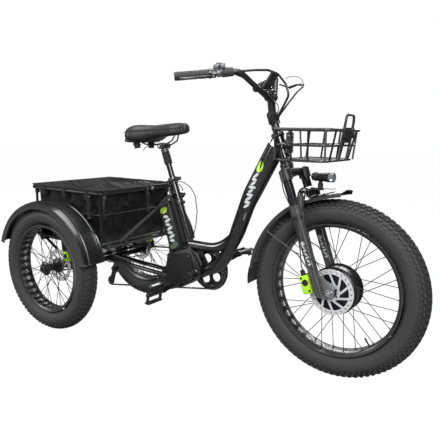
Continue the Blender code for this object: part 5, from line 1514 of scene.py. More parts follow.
# ------------------------------------------------------------------ fork
CROWN_Z = 0.792
ARCH_BRIDGE = leg_at(0.738) + Vector((0.044, 0, 0))      # top of the arch, over the tyre
LAMP_PIN = ARCH_BRIDGE + Vector((0.046, 0, 0.0200))


def fork_crown():
    crown = [pin(steer_at(CROWN_Z), SLOPE, -0.018, 0.018, 0.0250, sides=32),
             sloped(steer_at(CROWN_Z) + AHEAD * 0.018, (0.036, 2 * LEG_Y - 0.010, 0.030),
                    0.006),
             rod(steer_at(0.800), steer_at(0.9490), 0.0143, sides=32)]
    tubes, caps = [], []
    for s in BOTH:
        y = s * LEG_Y
        crown.append(rod(leg_at(CROWN_Z + 0.018, y), leg_at(CROWN_Z - 0.020, y), 0.0240,
                         sides=32))
        crown.append(rod(leg_at(CROWN_Z, y), leg_at(0.4800, y), STANCHION_R, sides=32))
        tubes.append(rod(leg_at(CROWN_Z - 0.022, y), leg_at(0.5050, y),
                         STANCHION_R + 0.00012, sides=48))
        caps.append(rod(leg_at(CROWN_Z + 0.0175, y), leg_at(CROWN_Z + 0.0235, y), 0.0200,
                        0.0150, sides=36))
    add("fork_crown", combine(crown), BLACK_METAL, bevel=0.0012)
    extra("stanchion_tubes", merged(tubes), STANCHION, "fork_crown")
    caps.append(rod(leg_at(CROWN_Z + 0.0230, -LEG_Y), leg_at(CROWN_Z + 0.0300, -LEG_Y),
                    0.0085, sides=24))
    extra("crown_caps", merged(caps), PLASTIC, "fork_crown", bevel=0.0008)
    race = [(0.0150, 0.0), (0.0262, 0.0), (0.0262, 0.0050), (0.0235, 0.0075),
            (0.0150, 0.0075)]
    extra("headset_race", turned(race, steer_at(0.8105), SLOPE, steps=64), DARK_STEEL,
          "fork_crown")


def band(points, axis, half_wide, half_thick, steps=20):
    """Flattened tube along these points, wide along axis."""
    rings = []
    for k, point in enumerate(points):
        along = points[min(k + 1, len(points) - 1)] - points[max(k - 1, 0)]
        along.normalize()
        side = (axis - along * axis.dot(along)).normalized()
        up = along.cross(side)
        rings.append([point + side * half_wide * math.cos(math.tau * j / steps)
                      + up * half_thick * math.sin(math.tau * j / steps)
                      for j in range(steps)])
    return loft(rings)


def fork_lowers():
    dropout = [(1.238, 0.402), (1.268, 0.416), (1.318, 0.372), (1.318, 0.340),
               (1.296, 0.330), (1.252, 0.330)]
    parts = []
    for s in BOTH:
        y = s * LEG_Y
        parts += [rod(leg_at(0.667, y), leg_at(0.345, y), LOWER_R, 0.0195, sides=32),
                  rod(leg_at(0.667, y), leg_at(0.640, y), LOWER_R + 0.002, sides=32),
                  plate(dropout, 0.0040, s * 0.0700),
                  pin(FRONT_AXLE, Y, s * 0.0730, s * 0.0860, 0.0105, sides=12),
                  pin(FRONT_AXLE, Y, s * 0.0850, s * 0.0950, 0.0070, sides=20)]
    parts.append(pin(FRONT_AXLE, Y, -0.0740, 0.0740, 0.0070, sides=24))
    rising = [(0.600, 0.080, 0.0), (0.660, 0.078, 0.016), (0.738, 0.068, 0.044)]
    arch = [leg_at(z, -y) + Vector((ahead, 0, 0)) for z, y, ahead in rising]
    arch += [leg_at(z, y) + Vector((ahead, 0, 0)) for z, y, ahead in rising[::-1]]
    parts.append(band(fillet(arch, 0.030), Vector((1, 0, 0)), 0.0165, 0.0085))
    parts.append(block(ARCH_BRIDGE + Vector((0.026, 0, 0.0005)), (0.060, 0.024, 0.006)))
    for s in BOTH:
        parts.append(block(ARCH_BRIDGE + Vector((0.046, s * 0.0082, 0.012)),
                           (0.014, 0.0040, 0.024)))
    bores = [rod(leg_at(0.700, s * LEG_Y), leg_at(0.4200, s * LEG_Y), STANCHION_R + GAP,
                 sides=32) for s in BOTH]
    add("fork_lowers", combine(parts, cut=bores), LEG_DECAL, bevel=0.0007)


def fork_details():
    wiper = [(0.0180, 0.0), (0.0226, 0.0), (0.0232, 0.0030), (0.0215, 0.0090),
             (0.0190, 0.0115), (0.0180, 0.0115)]
    extra("leg_wipers", merged([turned(wiper, leg_at(0.6660, s * LEG_Y), SLOPE, steps=64)
                                for s in BOTH]), GRIP, "fork_lowers")
    outline = [(1.2400, 0.404), (1.2680, 0.4170), (1.3195, 0.3730), (1.3195, 0.3390),
               (1.2965, 0.3285), (1.2510, 0.3290)]
    extra("dropout_plates", merged([plate(outline, 0.0018, s * 0.0760) for s in BOTH]),
          GREY, "fork_lowers", bevel=0.0010)
    nuts = [pin(FRONT_AXLE, Y, s * 0.0775, s * 0.0880, 0.0112, sides=6) for s in BOTH]
    nuts += [pin(FRONT_AXLE, Y, s * 0.0860, s * 0.0952, 0.0068) for s in BOTH]
    nuts += [pin(FRONT_AXLE, Y, s * 0.0765, s * 0.0782, 0.0145, sides=40) for s in BOTH]
    extra("axle_nuts", merged(nuts), STEEL, "fork_lowers", bevel=0.0005)
    bands = [rod(leg_at(0.636, s * LEG_Y), leg_at(0.624, s * LEG_Y), 0.0222, sides=48)
             for s in BOTH]
    extra("leg_bands", merged(bands), BLACK_METAL, "fork_lowers", bevel=0.0006)
    stays = [pipe([leg_at(0.420, s * 0.100),
                   leg_at(0.470, s * 0.096) + Vector((-0.045, 0, 0.02)),
                   Vector((1.020, s * 0.066, 0.560))], 0.0026) for s in BOTH]
    extra("fender_stays", merged(stays), BLACK_METAL, "front_fender")


def headlight():
    """Lamp lying along x over the arch bridge, its lens to the front."""
    centre = (LAMP_PIN.x, 0, LAMP_PIN.z + 0.0285)
    forwards = (1, 0, 0)
    section = [
        (0.0, -0.036), (0.0100, -0.036), (0.0140, -0.0335), (0.0155, -0.028),
        (0.0165, 0.010), (0.0186, 0.026), (0.0194, 0.030), (0.0194, 0.0360),
        (0.0184, 0.0372), (0.0172, 0.0360), (0.0168, 0.0300), (0.0, 0.0240)]
    add("headlight", combine([
        turned(section, centre, forwards),
        block(LAMP_PIN + Vector((0, 0, 0.0060)), (0.012, 0.0110, 0.022)),
        block(LAMP_PIN + Vector((-0.002, 0, 0.0150)), (0.030, 0.0120, 0.006))]),
        LAMP, bevel=0.0003)
    lens = [(0.0, 0.0250), (0.0160, 0.0310), (0.0188, 0.0365), (0.0190, 0.0530),
            (0.0172, 0.0552), (0.0, 0.0560)]
    extra("lamp_lens", turned(lens, centre, forwards, steps=72), LENS, "headlight")
    rings = [collar(0.0150, 0.0170, low, low + 0.0018, centre, forwards, 72)
             for low in (-0.024, -0.019, -0.014)]
    extra("lamp_rings", merged(rings), BLACK_METAL, "headlight")
    extra("lamp_visor", block((LAMP_PIN.x + 0.010, 0, 0.7440), (0.096, 0.030, 0.0030), 0.001),
          BLACK_METAL, "fork_lowers")


def front_caliper():
    centre = Vector((1.204, -0.060, 0.372))
    body = sloped(centre, (0.046, 0.036, 0.076), 0.005)
    disc_slot = sloped((1.245, -0.0545, 0.372), (0.100, 0.0050, 0.120))
    add("front_caliper", combine([body], cut=[disc_slot]), LIME, bevel=0.0012)
    parts = [pin(centre + SLOPE * up + AHEAD * ahead, Y, -0.0176, -0.0212, radius)
             for ahead, up, radius in ((0.0, 0.008, 0.0125), (-0.012, 0.028, 0.0042),
                                       (0.010, -0.026, 0.0042))]
    parts += [sloped(centre + Vector((0, -0.014, 0)) + SLOPE * 0.048,
                     (0.016, 0.012, 0.022), 0.002),
              sloped(centre + Vector((0.022, -0.010, 0.0)) + SLOPE * 0.020,
                     (0.030, 0.006, 0.060), 0.002)]
    extra("front_caliper_parts", merged(parts), DARK_STEEL, "front_caliper", bevel=0.0006)


def opened(mesh, start):
    """Opens the front end of the fender: points nearer the start angle stand further out."""
    fade_end, gain = math.radians(110), 0.016
    for vert in mesh.vertices:
        out = vert.co - FRONT_AXLE
        angle = math.atan2(out.z, out.x)
        u = min(1.0, max(0.0, (fade_end - angle) / (fade_end - start)))
        factor = 1 + gain * u * u / math.hypot(out.x, out.z)
        vert.co = FRONT_AXLE + Vector((out.x * factor, out.y, out.z * factor))
    return mesh


def fender_flap():
    """Rubber flap that carries the fender on at its back end."""
    section = ((-1, -0.0012), (-0.5, 0.0016), (0, 0.0024), (0.5, 0.0016), (1, -0.0012),
               (1, -0.0034), (0, -0.0004), (-1, -0.0034))      # share of width, outwards
    rows = []
    for k in range(9):
        half_width = 0.056 + 0.004 * math.sin(math.pi * k / 8)
        angle = math.radians(173 + 12 * k / 8)
        middle = polar(FRONT_AXLE, 0.3690 + 0.0006 * k, angle, 0)
        out = (middle - FRONT_AXLE).normalized()
        rows.append([middle + Vector((0, s * half_width, 0)) + out * t for s, t in section])
    extra("fender_flap", loft(rows), GRIP, "front_fender", angle=50)


def front_fender():
    start, edge, half_width = math.radians(87), 0.3525, 0.0598
    outside, inside = [], []
    for k in range(23):
        u = -1 + 2 * k / 22
        groove = 0.0020 if 0.45 < abs(u) < 0.62 else 0.0
        radius = 0.3742 - 0.0098 * abs(u) ** 2.6 - groove
        outside.append((radius, u * half_width))
        inside.append((radius - 0.0022, u * 0.0580))
    profile = ([(edge, -0.0580), (edge, -half_width)] + outside
               + [(edge, half_width), (edge, 0.0580)] + inside[::-1])
    arch = swept(profile, FRONT_AXLE, start, math.radians(174), 72)
    add("front_fender", opened(arch, start), FENDER_PAINT, angle=30)
    fender_flap()
    roll = pipe([polar(FRONT_AXLE, r - 0.0010, start, y) for r, y in outside], 0.0024)
    extra("front_fender_rolls", opened(roll, start), FENDER_PAINT, "front_fender")
    bolts = [rod(polar(FRONT_AXLE, 0.3728, math.radians(angle), y),
                 polar(FRONT_AXLE, 0.3765, math.radians(angle), y), 0.0048, sides=20)
             for angle in (108, 113) for y in (-0.012, 0.012)]
    extra("front_fender_bolts", merged(bolts), STEEL, "front_fender", bevel=0.0005)


# ------------------------------------------------------------------ stem and handlebar
BAR_MIDDLE = Vector((BAR_CLAMP.x, 0, BAR_CLAMP.z))
BAR_BORE_R = BAR_R + GAP + 0.0002
INWARD = (BAR_BEND - BAR_END).normalized()            # along the left grip, from its end
LEVER_DIR = Vector((0.62, 0.78, 0)).normalized()      # forwards and outwards on the left
BAR_AXES = (INWARD, UP.cross(INWARD), UP)


def along_bar(distance):
    return BAR_END + INWARD * distance


def bar_rod(start, end, radius, end_radius=None, sides=28):
    """Rod on the bar's axis between two distances from its end."""
    return rod(along_bar(start), along_bar(end), radius, end_radius, sides)


def bar_bore(start, end):
    return bar_rod(start - 0.02, end + 0.02, BAR_BORE_R)


def stem():
    foot = steer_at(0.985)
    base = [rod(steer_at(0.9505), steer_at(1.000), 0.0175, 0.0165, sides=32)]
    for s in BOTH:
        cheek = Vector((0, s * 0.0185, 0))
        base.append(bar(foot + cheek, STEM_PIVOT + cheek, 0.0060, 0.030, 0.001))
        base.append(pin(STEM_PIVOT, Y, s * 0.0155, s * 0.0215, 0.0150, sides=24))
    relief = pin(STEM_PIVOT, Y, -0.0155, 0.0155, 0.0175, sides=32)
    add("stem_base", combine(base, cut=[relief]), BLACK_METAL, bevel=0.0008)
    lift = (BAR_MIDDLE - STEM_PIVOT).normalized()
    arm = [pin(STEM_PIVOT, Y, -0.0150, 0.0150, 0.0170, sides=32),
           bar(STEM_PIVOT + lift * 0.004, BAR_MIDDLE - lift * 0.006, 0.0270, 0.026, 0.005),
           pin(BAR_MIDDLE, Y, -0.0230, 0.0230, 0.0195, sides=32)]
    bore = pin(BAR_MIDDLE, Y, -0.03, 0.03, BAR_R + GAP, sides=32)
    add("stem_arm", combine(arm, cut=[bore]), BLACK_METAL, bevel=0.0008)


def handlebar():
    corners = (BAR_END, BAR_BEND, BAR_CLAMP)
    path = fillet([*[on_side(p, -1) for p in corners], *corners[::-1]],
                  [0, 0.045, 0.022, 0.022, 0.045, 0], steps=8)
    add("handlebar", pipe(path, BAR_R, resolution=5), BLACK_METAL)


def grip(end, end_radius):
    """Left grip, its blind bore open at the inboard end."""
    return combine([bar_rod(-0.0030, end, 0.0165, end_radius)],
                   cut=[bar_rod(-GAP, 0.15, BAR_BORE_R)])


def grips():
    add("grip_left", grip(0.1280, 0.0158), GRIP, bevel=0.0008)
    add("grip_right", mirrored(grip(0.0900, 0.0160)), GRIP, bevel=0.0008)
    sleeve = combine([bar_rod(0.0905, 0.1290, 0.0168)], cut=[bar_bore(0.0905, 0.1290)])
    add("throttle_sleeve", mirrored(sleeve), GRIP, bevel=0.0008)


MOUNT_AT = along_bar(0.142)
LEVER_PIVOT = MOUNT_AT + LEVER_DIR * 0.030 - UP * 0.014
LEVER_TIP = LEVER_PIVOT + LEVER_DIR * 0.012 - INWARD * 0.118


def brake_levers():
    arm = bar(MOUNT_AT + LEVER_DIR * 0.010 - UP * 0.004,
              MOUNT_AT + LEVER_DIR * 0.034 - UP * 0.0020, 0.024, 0.012, 0.003, INWARD)
    mount = combine([bar_rod(0.1310, 0.1530, 0.0175), arm], cut=[bar_bore(0.1310, 0.1530)])
    blade = fillet([LEVER_PIVOT, LEVER_PIVOT + LEVER_DIR * 0.012 - INWARD * 0.030,
                    LEVER_PIVOT + LEVER_DIR * 0.006 - INWARD * 0.070, LEVER_TIP], 0.03,
                   steps=4)
    lever = combine([pipe(blade, 0.0046),
                     pin(LEVER_PIVOT, UP, -0.0040, 0.0040, 0.0085, sides=20)])
    add("brake_mount_left", mount.copy(), BLACK_METAL)
    add("brake_lever_left", lever.copy(), BLACK_METAL)
    add("brake_mount_right", mirrored(mount), BLACK_METAL)
    add("brake_lever_right", mirrored(lever), BLACK_METAL)


SHIFTER_TOP = along_bar(0.1665) + UP * 0.0235      # on the left; the shifter is mirrored


def shifter():
    body = combine([
        bar_rod(0.1570, 0.1760, 0.0160),
        block(SHIFTER_TOP, (0.046, 0.036, 0.0165), 0.004, BAR_AXES),
        block(along_bar(0.1665) + UP * 0.0135, (0.017, 0.020, 0.010), axes=BAR_AXES)],
        cut=[bar_bore(0.1570, 0.1760)])
    add("shifter_body", mirrored(body), SOFT_GREY)
    knob = SHIFTER_TOP + UP * 0.0088
    middle = knob + UP * 0.002
    paddle = combine([rod(knob, knob + UP * 0.0032, 0.0125),
                      bar(middle - LEVER_DIR * 0.004, middle - LEVER_DIR * 0.030, 0.010,
                          0.004, 0.001, INWARD)])
    add("shifter_lever", mirrored(paddle), PLASTIC)


SCREEN_FACE = Vector((-0.80, 0.0, 0.60))       # towards the rider
SCREEN_TALL = Vector((0.60, 0.0, 0.80))
SCREEN_AT = Vector((0.9740, 0.0060, 1.1560))


def display():
    axes = (SCREEN_FACE, Y, SCREEN_TALL)
    add("display", combine([
        block(SCREEN_AT, (0.014, 0.052, 0.080), 0.004, axes),
        rod((0.9615, 0.0060, 1.1300), (0.9800, 0.0060, 1.1160), 0.0040, sides=16),
        block((0.9820, 0.0060, 1.1152), (0.0200, 0.0260, 0.0060))]), PLASTIC, bevel=0.0010)
    extra("display_glass", block(SCREEN_AT + SCREEN_FACE * 0.0072 + SCREEN_TALL * 0.006,
                                 (0.0016, 0.044, 0.056), 0.0005, axes), SCREEN, "display")
    keys = [pin(SCREEN_AT - SCREEN_TALL * 0.031 + Y * y, SCREEN_FACE, 0.0066, 0.0088,
                0.0046, sides=24) for y in (-0.014, 0.0, 0.014)]
    extra("display_keys", merged(keys), GRIP, "display", bevel=0.0005)


def bar_details():
    ribs = []
    for s, count in ((-1, 6), (1, 8)):
        for k in range(count):
            ribs.append(rod(on_side(along_bar(0.008 + 0.0125 * k), s),
                            on_side(along_bar(0.012 + 0.0125 * k), s), 0.0171, sides=40))
    extra("grip_ribs", merged(ribs), GRIP, "grip_left", bevel=0.0008)
    for s in BOTH:
        cap = rod(on_side(along_bar(-0.0030), s), on_side(along_bar(-0.0052), s), 0.0150,
                  0.0125, sides=36)
        extra(f"grip_cap_{s + 1}", cap, PLASTIC, "grip_left")
    bolts = []
    for s in BOTH:
        for y in (-0.0130, 0.0130):
            bolts.append(rod(BAR_MIDDLE + Vector((0.015, s * y, 0.010)),
                             BAR_MIDDLE + Vector((0.0215, s * y, 0.0145)), 0.0030, sides=18))
        bolts.append(pin(STEM_PIVOT, Y, s * 0.0210, s * 0.0245, 0.0062, sides=24))
    extra("stem_bolts", merged(bolts), DARK_STEEL, "stem_arm", bevel=0.0004)


CABLE_PORT = MOUNT_AT + LEVER_DIR * 0.030      # where cables leave the left lever mount


def control_details():
    start = CABLE_PORT - UP * 0.006 + LEVER_DIR * 0.004
    end = start + INWARD * 0.030 + UP * 0.002
    barrels = [rod(on_side(start, s), on_side(end, s), 0.0042, 0.0032, sides=20)
               for s in (1, -1)]
    extra("lever_barrels", merged(barrels), DARK_STEEL, "brake_mount_left", bevel=0.0003)
    pins = [pin(on_side(LEVER_PIVOT, s), UP, -0.0050, 0.0110, 0.0034, sides=18)
            for s in BOTH]
    extra("lever_pins", merged(pins), STEEL, "brake_mount_left")
    ball = [(0.0, -0.0062), (0.0040, -0.0050), (0.0062, 0.0), (0.0040, 0.0050),
            (0.0, 0.0062)]
    for side, name in SIDES:
        extra(f"lever_tip_{name}", turned(ball, on_side(LEVER_TIP, side), steps=24),
              BLACK_METAL, f"brake_lever_{name}")
    extra("shifter_pod", rod(on_side(SHIFTER_TOP + LEVER_DIR * 0.016, -1),
                             on_side(SHIFTER_TOP + LEVER_DIR * 0.034, -1),
                             0.0062, 0.0040, sides=20), PLASTIC, "shifter_body")
    inner = BAR_R + 0.0006
    ring = [(inner, -0.0035), (0.0190, -0.0035), (0.0196, 0.0), (0.0190, 0.0035),
            (inner, 0.0035)]
    extra("throttle_ring", turned(ring, on_side(along_bar(0.1298), -1),
                                  on_side(INWARD, -1), steps=48), LAMP, "brake_mount_right")


def bar_cables():
    """Casings from the controls to the head tube."""
    cables = [      # name, points, radius, bend radius
        ("right", [(0.893, -0.192, 1.176), (0.927, -0.150, 1.180), (0.968, -0.100, 1.187),
                   (0.993, -0.050, 1.191), (1.021, -0.020, 1.178), (1.047, 0.0, 1.140),
                   (1.062, 0.0, 1.098), (1.042, 0.0, 1.060), (1.017, 0.0, 1.017),
                   (1.006, 0.0, 0.966)], 0.0046, 0.03),
        ("right_b", [(0.880, -0.215, 1.172), (0.905, -0.175, 1.172), (0.930, -0.140, 1.160),
                     (0.965, -0.090, 1.130), (0.992, -0.050, 1.104), (1.012, -0.024, 1.070),
                     (1.012, -0.012, 1.020), (1.002, -0.006, 0.966)], 0.0034, 0.03),
        ("left", [CABLE_PORT - UP * 0.004 + INWARD * 0.028, (0.985, 0.150, 1.140),
                  (1.020, 0.130, 1.147), (1.062, 0.112, 1.148), (1.072, 0.108, 1.140),
                  (1.057, 0.080, 1.115), (1.042, 0.050, 1.078), (1.011, 0.020, 1.018),
                  (1.004, 0.004, 0.966)], 0.0036, 0.03),
        ("loop_top", [(0.969, 0.140, 1.176), (0.990, 0.135, 1.183), (1.011, 0.130, 1.1835),
                      (1.036, 0.125, 1.180), (1.053, 0.120, 1.170), (1.066, 0.113, 1.158),
                      (1.071, 0.110, 1.145)], 0.0014, 0.02),
        ("display", [SCREEN_AT - SCREEN_TALL * 0.036,
                     SCREEN_AT - SCREEN_TALL * 0.060 + Vector((0.012, -0.006, 0)),
                     (1.006, 0.030, 1.060), (1.004, 0.010, 1.010), (1.000, 0.004, 0.966)],
         0.0022, 0.03)]
    for name, points, radius, bend in cables:
        bending(f"cable_{name}", pipe(fillet(points, bend, steps=8), radius))
    barrels = [
        rod((1.050, 0.1160, 1.1476), (1.072, 0.1085, 1.1440), 0.0052, 0.0036, sides=20),
        rod((0.990, 0.148, 1.1405), (1.030, 0.127, 1.1475), 0.0060, 0.0046, sides=20)]
    extra("barrel_left", merged(barrels), PLASTIC, "stem_arm")
    sleeve = rod(on_side(along_bar(0.178), -1), on_side(along_bar(0.220), -1), 0.0185,
                 0.0165, sides=36)
    extra("cable_sleeve", merged([sleeve]), GRIP, "shifter_body")


# ------------------------------------------------------------------ seat
BOOT_FOOT = seat_at(0.800)
HEAD_AT = seat_at(0.8790)
SADDLE_BACK, SADDLE_NOSE = 0.236, 0.566


def seat_post():
    """Post, rubber boot and the head with the saddle rails; returns the boot."""
    post = combine([rod(seat_at(0.560), BOOT_FOOT, POST_R, sides=32)],
                   cut=[rod(seat_at(0.700), seat_at(0.83), 0.0104, sides=24)])
    add("seat_post", post, STANCHION)
    tall = 0.0545
    folds = [(0.0182 if k % 2 == 0 else 0.0162, tall * k / 6) for k in range(7)]
    boot = turned([*folds, (0.0146, tall), (0.0146, 0.0)], BOOT_FOOT, SLOPE, steps=48)
    boot = add("seat_post_boot", boot, RUBBER)
    head = [rod(seat_at(0.730), seat_at(0.870), 0.0100, sides=24),
            rod(seat_at(0.8530), seat_at(0.868), 0.0185, sides=24),
            pin(HEAD_AT + Vector((0, 0, 0.004)), Y, -0.030, 0.030, 0.0150, sides=24)]
    for s in BOTH:
        rail = [(0.290, s * 0.036, 0.9060), (0.330, s * 0.024, 0.8880),
                (0.445, s * 0.024, 0.8880), (0.486, s * 0.020, 0.9080),
                (0.500, s * 0.012, 0.9400)]
        head.append(pipe(fillet(rail, 0.02, steps=3), 0.0036, resolution=2))
    add("seat_post_head", combine(head), BLACK_METAL)
    return boot


def saddle_x(t):
    return SADDLE_BACK + 0.002 + t * (SADDLE_NOSE - SADDLE_BACK - 0.004)


def saddle_half_width(t):
    """t runs from 0 at the back to 1 at the nose."""
    if t < 0.24:
        return 0.122 * (1 - max(0.0, (0.22 - t) / 0.22) ** 2.4 * 0.42)
    return 0.027 + 0.095 * max(0.0, 1 - max(0.0, t - 0.24) / 0.52) ** 1.5


def saddle_skin(grow, top_off, bottom, flat=False, short=0.0, rows=44, columns=40):
    """Closed padded shape: rows from back to nose, each a rounded section.

    grow widens each side, top_off lifts the top and short shortens the nose end.
    """
    skin = []
    for i in range(rows + 1):
        t = 0.5 - 0.5 * math.cos(math.pi * i / rows)
        x = SADDLE_BACK + 0.002 + t * (SADDLE_NOSE - SADDLE_BACK - 0.004 - short)
        end = math.sqrt(max(0.0, 1 - abs(2 * t - 1) ** 7))
        half_width = max(0.0012, (saddle_half_width(t) + grow) * end ** 0.55)
        dip = 0.006 * math.exp(-((t - 0.45) / 0.20) ** 2)
        crest = 0.9770 + 0.0165 * t - dip + top_off
        ease = min(1.0, max(0.0, (t - 0.28) / 0.28))
        base = bottom + 0.0250 * ease * ease * (3 - 2 * ease) + 0.034 * max(0.0, t - 0.5)
        middle = (crest + base) / 2 - 0.004
        row = []
        for j in range(columns):
            angle = math.tau * j / columns
            cos, sin = math.cos(angle), math.sin(angle)
            y = half_width * math.copysign(abs(cos) ** 0.72, cos)
            reach, power = (crest - middle, 0.62) if sin > 0 else (middle - base, 0.5)
            z = middle + reach * end ** 0.5 * math.copysign(abs(sin) ** power, sin)
            if sin > 0 and not flat:
                channel = math.exp(-(y / 0.012) ** 2) * math.exp(-((t - 0.45) / 0.30) ** 2)
                z -= 0.0055 * channel
                z -= (0.0105 * (abs(y) / max(half_width, 0.02)) ** 3
                      * (1 if t < 0.5 else 0.5))
            row.append((x, y, z))
        skin.append(row)
    return loft(skin)


def saddle():
    add("saddle", saddle_skin(0.0, 0.0, 0.8985), VINYL, angle=60)
    shell = saddle_skin(-0.009, -0.056, 0.8945, flat=True, short=0.070)
    extra("saddle_shell", shell, PLASTIC, "saddle", angle=60)
    shares = [i / 44 for i in range(3, 42)]
    for s in BOTH:
        seam = [(saddle_x(t), s * saddle_half_width(t) * 0.985, 0.9400 + 0.030 * t)
                for t in shares]
        extra(f"saddle_piping_{s + 1}", pipe(seam, 0.0016, resolution=2), TRIM, "saddle")
    bumpers = []
    for s in BOTH:
        bumpers.append(rod((0.296, s * 0.052, 0.9050), (0.300, s * 0.048, 0.8690), 0.0165,
                           0.0140, sides=36))
        bumpers.append(collar(0.0120, 0.0182, -0.004, 0.004, (0.298, s * 0.050, 0.886), UP,
                              48))
    extra("saddle_bumpers", merged(bumpers), GRIP, "saddle", bevel=0.0012)
    bolts = [pin(HEAD_AT + Vector((0, 0, 0.004)), Y, s * 0.0295, s * 0.0345, 0.0062,
                 sides=6) for s in BOTH]
    extra("saddle_bolts", merged(bolts), STEEL, "seat_post_head", bevel=0.0005)
    wire = [(0.345, -0.022, 0.884), (0.330, -0.026, 0.874), (0.318, -0.030, 0.858)]
    extra("saddle_tail_wire", pipe(wire, 0.0018, resolution=2), DARK_STEEL,
          "seat_post_head")


def boot_ribs(boot):
    """Fine ribs round the boot, riding the boot's body; the ribs and the boot each get their
    own mesh.
    """
    section = [(0.0168, -0.0015), (0.0200, -0.0005), (0.0200, 0.0005), (0.0168, 0.0015)]
    ribs = [turned(section, BOOT_FOOT + SLOPE * (0.0042 + 0.0066 * k), SLOPE, steps=48)
            for k in range(8)]
    ribs = extra("boot_ribs", merged(ribs), TRIM, "seat_post_boot")
    for piece in (ribs, boot):
        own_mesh(piece)


def tube_ring():
    """Collar on the seat tube with a stub pointing forwards and to the right."""
    centre = seat_at(0.628)
    parts = [collar(SEAT_TUBE_R - 0.0005, SEAT_TUBE_R + 0.0035, -0.008, 0.008, centre,
                    SLOPE, 56),
             rod(centre + Vector((0.018, -0.006, 0)), centre + Vector((0.044, -0.020, 0.004)),
                 0.0075)]
    extra("tube_ring", merged(parts), DARK_STEEL, "frame", bevel=0.0008)


def seat():
    boot = seat_post()
    saddle()
    boot_ribs(boot)
    tube_ring()


# ------------------------------------------------------------------ cables on the frame
def head_cables():
    """Three cables from the fork down to the frame."""
    for k, (y0, y1) in enumerate(((0.006, 0.036), (-0.006, -0.034), (0.0, 0.028))):
        path = [(1.006, y0, 0.972), (1.020, y0 + (y1 - y0) * 0.5, 0.952),
                (1.000, y1, 0.905), (0.972, y1, 0.850), (0.950 + 0.006 * k, y1 * 0.8, 0.800)]
        bending(f"cable_head_{k}", pipe(fillet(path, 0.02), 0.0026 + 0.0004 * k,
                                        resolution=2))


def frame_cables():
    cord("cable_loop", [
        seat_at(0.730) + Vector((0.012, -0.020, 0)), (0.519, -0.030, 0.724),
        (0.560, -0.030, 0.726), (0.600, -0.030, 0.706), (0.628, -0.030, 0.672),
        (0.641, -0.030, 0.600), (0.633, -0.028, 0.535), (0.612, -0.024, 0.462)], 0.0021)
    cord("cable_rear", [
        seat_at(0.705) + Vector((0.006, 0.026, 0)), seat_at(0.680) + Vector((0.002, 0.054, 0)),
        (0.430, 0.060, 0.560), (0.350, 0.060, 0.420), (0.230, 0.052, 0.320),
        (0.100, 0.050, 0.285), (0.052, 0.036, 0.262)], 0.0022)
    for s in BOTH:
        cord(f"hose_rear_{s + 1}", [
            (0.330, s * 0.040, 0.300), (0.210, s * 0.110, 0.345), (0.150, s * 0.200, 0.372),
            (0.110, s * 0.262, 0.368), (0.072, s * 0.284, 0.372)], 0.0023)
    hose = [steer_at(0.790) + Vector((-0.010, -0.048, 0)),
            leg_at(0.735, -0.100) + Vector((-0.020, 0, 0.0)), leg_at(0.640, -0.106),
            leg_at(0.520, -0.104) + Vector((-0.016, 0, 0)),
            leg_at(0.440, -0.094) + Vector((-0.040, 0, 0)), (1.196, -0.072, 0.420)]
    bending("hose_front", pipe(fillet(hose, 0.05, steps=8), 0.0023, resolution=2))


def loom():
    """Cable bundle behind the crank, with a spiral-like wrap, and two seat tube ties."""
    points = [seat_at(0.430) + Vector((0.022, -0.020, 0)), (0.590, -0.030, 0.420),
              (0.640, -0.030, 0.400), (0.665, -0.026, 0.352)]
    cord("loom", points, 0.0052, bend=0.03)
    path = fillet(points, 0.03, steps=8)
    wraps = []
    for start, end in zip(path[:-1], path[1:]):
        pieces = max(1, int((end - start).length / 0.0055))
        along = (end - start).normalized()
        for j in range(pieces):
            middle = start.lerp(end, (j + 0.5) / pieces)
            wraps.append(pin(middle, along, -0.0014, 0.0014, 0.0062, sides=16))
    extra("loom_wrap", merged(wraps), PLASTIC, "frame")
    ties = [collar(0.0185, 0.0212, -0.002, 0.002, seat_at(z), SLOPE, 40)
            for z in (0.520, 0.600)]
    extra("cable_ties", merged(ties), PLASTIC, "frame")


# ------------------------------------------------------------- floor, light, camera
def floor():
    """Matt grey floor that looks nearly white to the camera."""
    bpy.ops.mesh.primitive_plane_add(size=60, location=(0, 0, 0))
    plane = bpy.context.object
    plane.name = "floor"
    material = bpy.data.materials.new("floor_white")
    material.use_nodes = True
    tree = material.node_tree
    matt = tree.nodes["Principled BSDF"]
    fill_inputs(tree, matt, {"Base Color": (0.20, 0.20, 0.20, 1), "Roughness": 0.95,
                             "Specular IOR Level": 0.0})
    seen = add_node(tree, "LightPath").outputs["Is Camera Ray"]
    glow = add_node(tree, "Emission", {"Strength": 1.10})
    mixed = add_node(tree, "MixShader", {"Fac": math_node(tree, "MULTIPLY", seen, 0.90),
                                         1: matt.outputs["BSDF"],
                                         2: glow.outputs["Emission"]})
    fill_inputs(tree, tree.nodes["Material Output"], {"Surface": mixed.outputs["Shader"]})
    plane.data.materials.append(material)


def studio_world():
    """White to the camera, dim as a light."""
    world = bpy.data.worlds.new("studio")
    bpy.context.scene.world = world
    world.use_nodes = True
    tree = world.node_tree
    seen = add_node(tree, "LightPath").outputs["Is Camera Ray"]
    level = add_node(tree, "MapRange", {"To Min": 0.10, "To Max": 1.0, "Value": seen})
    fill_inputs(tree, tree.nodes["Background"], {"Strength": level.outputs["Result"],
                                                 "Color": (1, 1, 1, 1)})


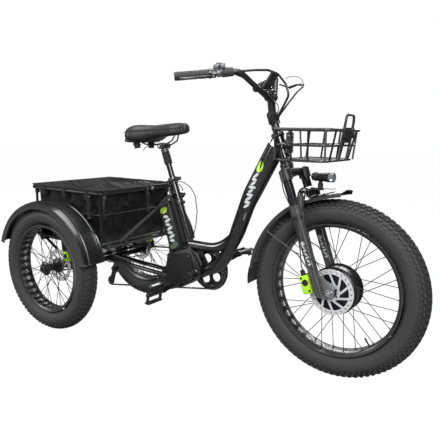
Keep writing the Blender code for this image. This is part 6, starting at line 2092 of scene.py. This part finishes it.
def panel(name, place, target_z, size, power, target_x=0):
    """Area light aimed at a point of the middle plane, unseen by the camera."""
    data = bpy.data.lights.new(name, "AREA")
    data.shape = "RECTANGLE"
    data.size, data.size_y = size
    data.energy = power
    light = link(data, name)
    light.location = place
    aim = Vector((target_x, 0, target_z)) - Vector(place)
    light.rotation_euler = aim.to_track_quat("-Z", "Y").to_euler()
    light.visible_camera = False


def lights():
    panel("key", place=(2.4, -2.8, 3.0), target_z=0.5, size=(1.5, 2.0), power=190)
    panel("fill", place=(-2.8, -2.4, 2.2), target_z=0.5, size=(1.0, 2.4), power=100)
    panel("top", place=(0.0, 0.4, 3.8), target_z=0.4, size=(3.4, 1.4), power=130)
    panel("strip_front", place=(2.6, -1.5, 1.3), target_z=0.6, size=(0.14, 2.2), power=10,
          target_x=0.2)
    panel("strip_side", place=(-0.2, -2.9, 1.5), target_z=0.6, size=(0.16, 2.4), power=10)
    panel("rim", place=(-0.6, 3.2, 2.0), target_z=0.6, size=(3.0, 1.2), power=90)


def camera():
    """From the front right, looking slightly down."""
    yaw, pitch, roll = math.radians(124.117), math.radians(-9.7185), math.radians(0.914)
    look = Vector((math.cos(pitch) * math.cos(yaw), math.cos(pitch) * math.sin(yaw),
                   math.sin(pitch)))
    level = look.cross(UP).normalized()
    above = level.cross(look)
    right = level * math.cos(roll) + above * math.sin(roll)
    top = -level * math.sin(roll) + above * math.cos(roll)
    data = bpy.data.cameras.new("camera")
    data.lens = 42.03
    data.sensor_width = 36.0
    made = link(data, "camera")
    turn = Matrix((right, top, -look)).transposed().to_4x4()
    made.matrix_world = Matrix.Translation((2.0043 - LAYOUT_X, -1.8586, 0.9508)) @ turn
    bpy.context.scene.camera = made
    bpy.context.scene.view_settings.view_transform = "Standard"


# ------------------------------------------------------------------ build
front_wheel()
for wheel_side, wheel_name in SIDES:
    rear_wheel(wheel_side, wheel_name)
for build in (
        axle_and_cassette, chainring, cranks_and_pedals, chain, derailleur,
        main_frame, frame_details, battery, seat_clamp,
        rear_subframe, rear_sides, rear_basket, bag, bag_fittings, lid, front_basket,
        fork_crown, fork_lowers, fork_details, headlight, front_caliper, front_fender,
        stem, handlebar, grips, brake_levers, shifter, display, bar_details,
        control_details, bar_cables, seat, head_cables, frame_cables, loom,
        floor, studio_world, lights, camera):
    build()
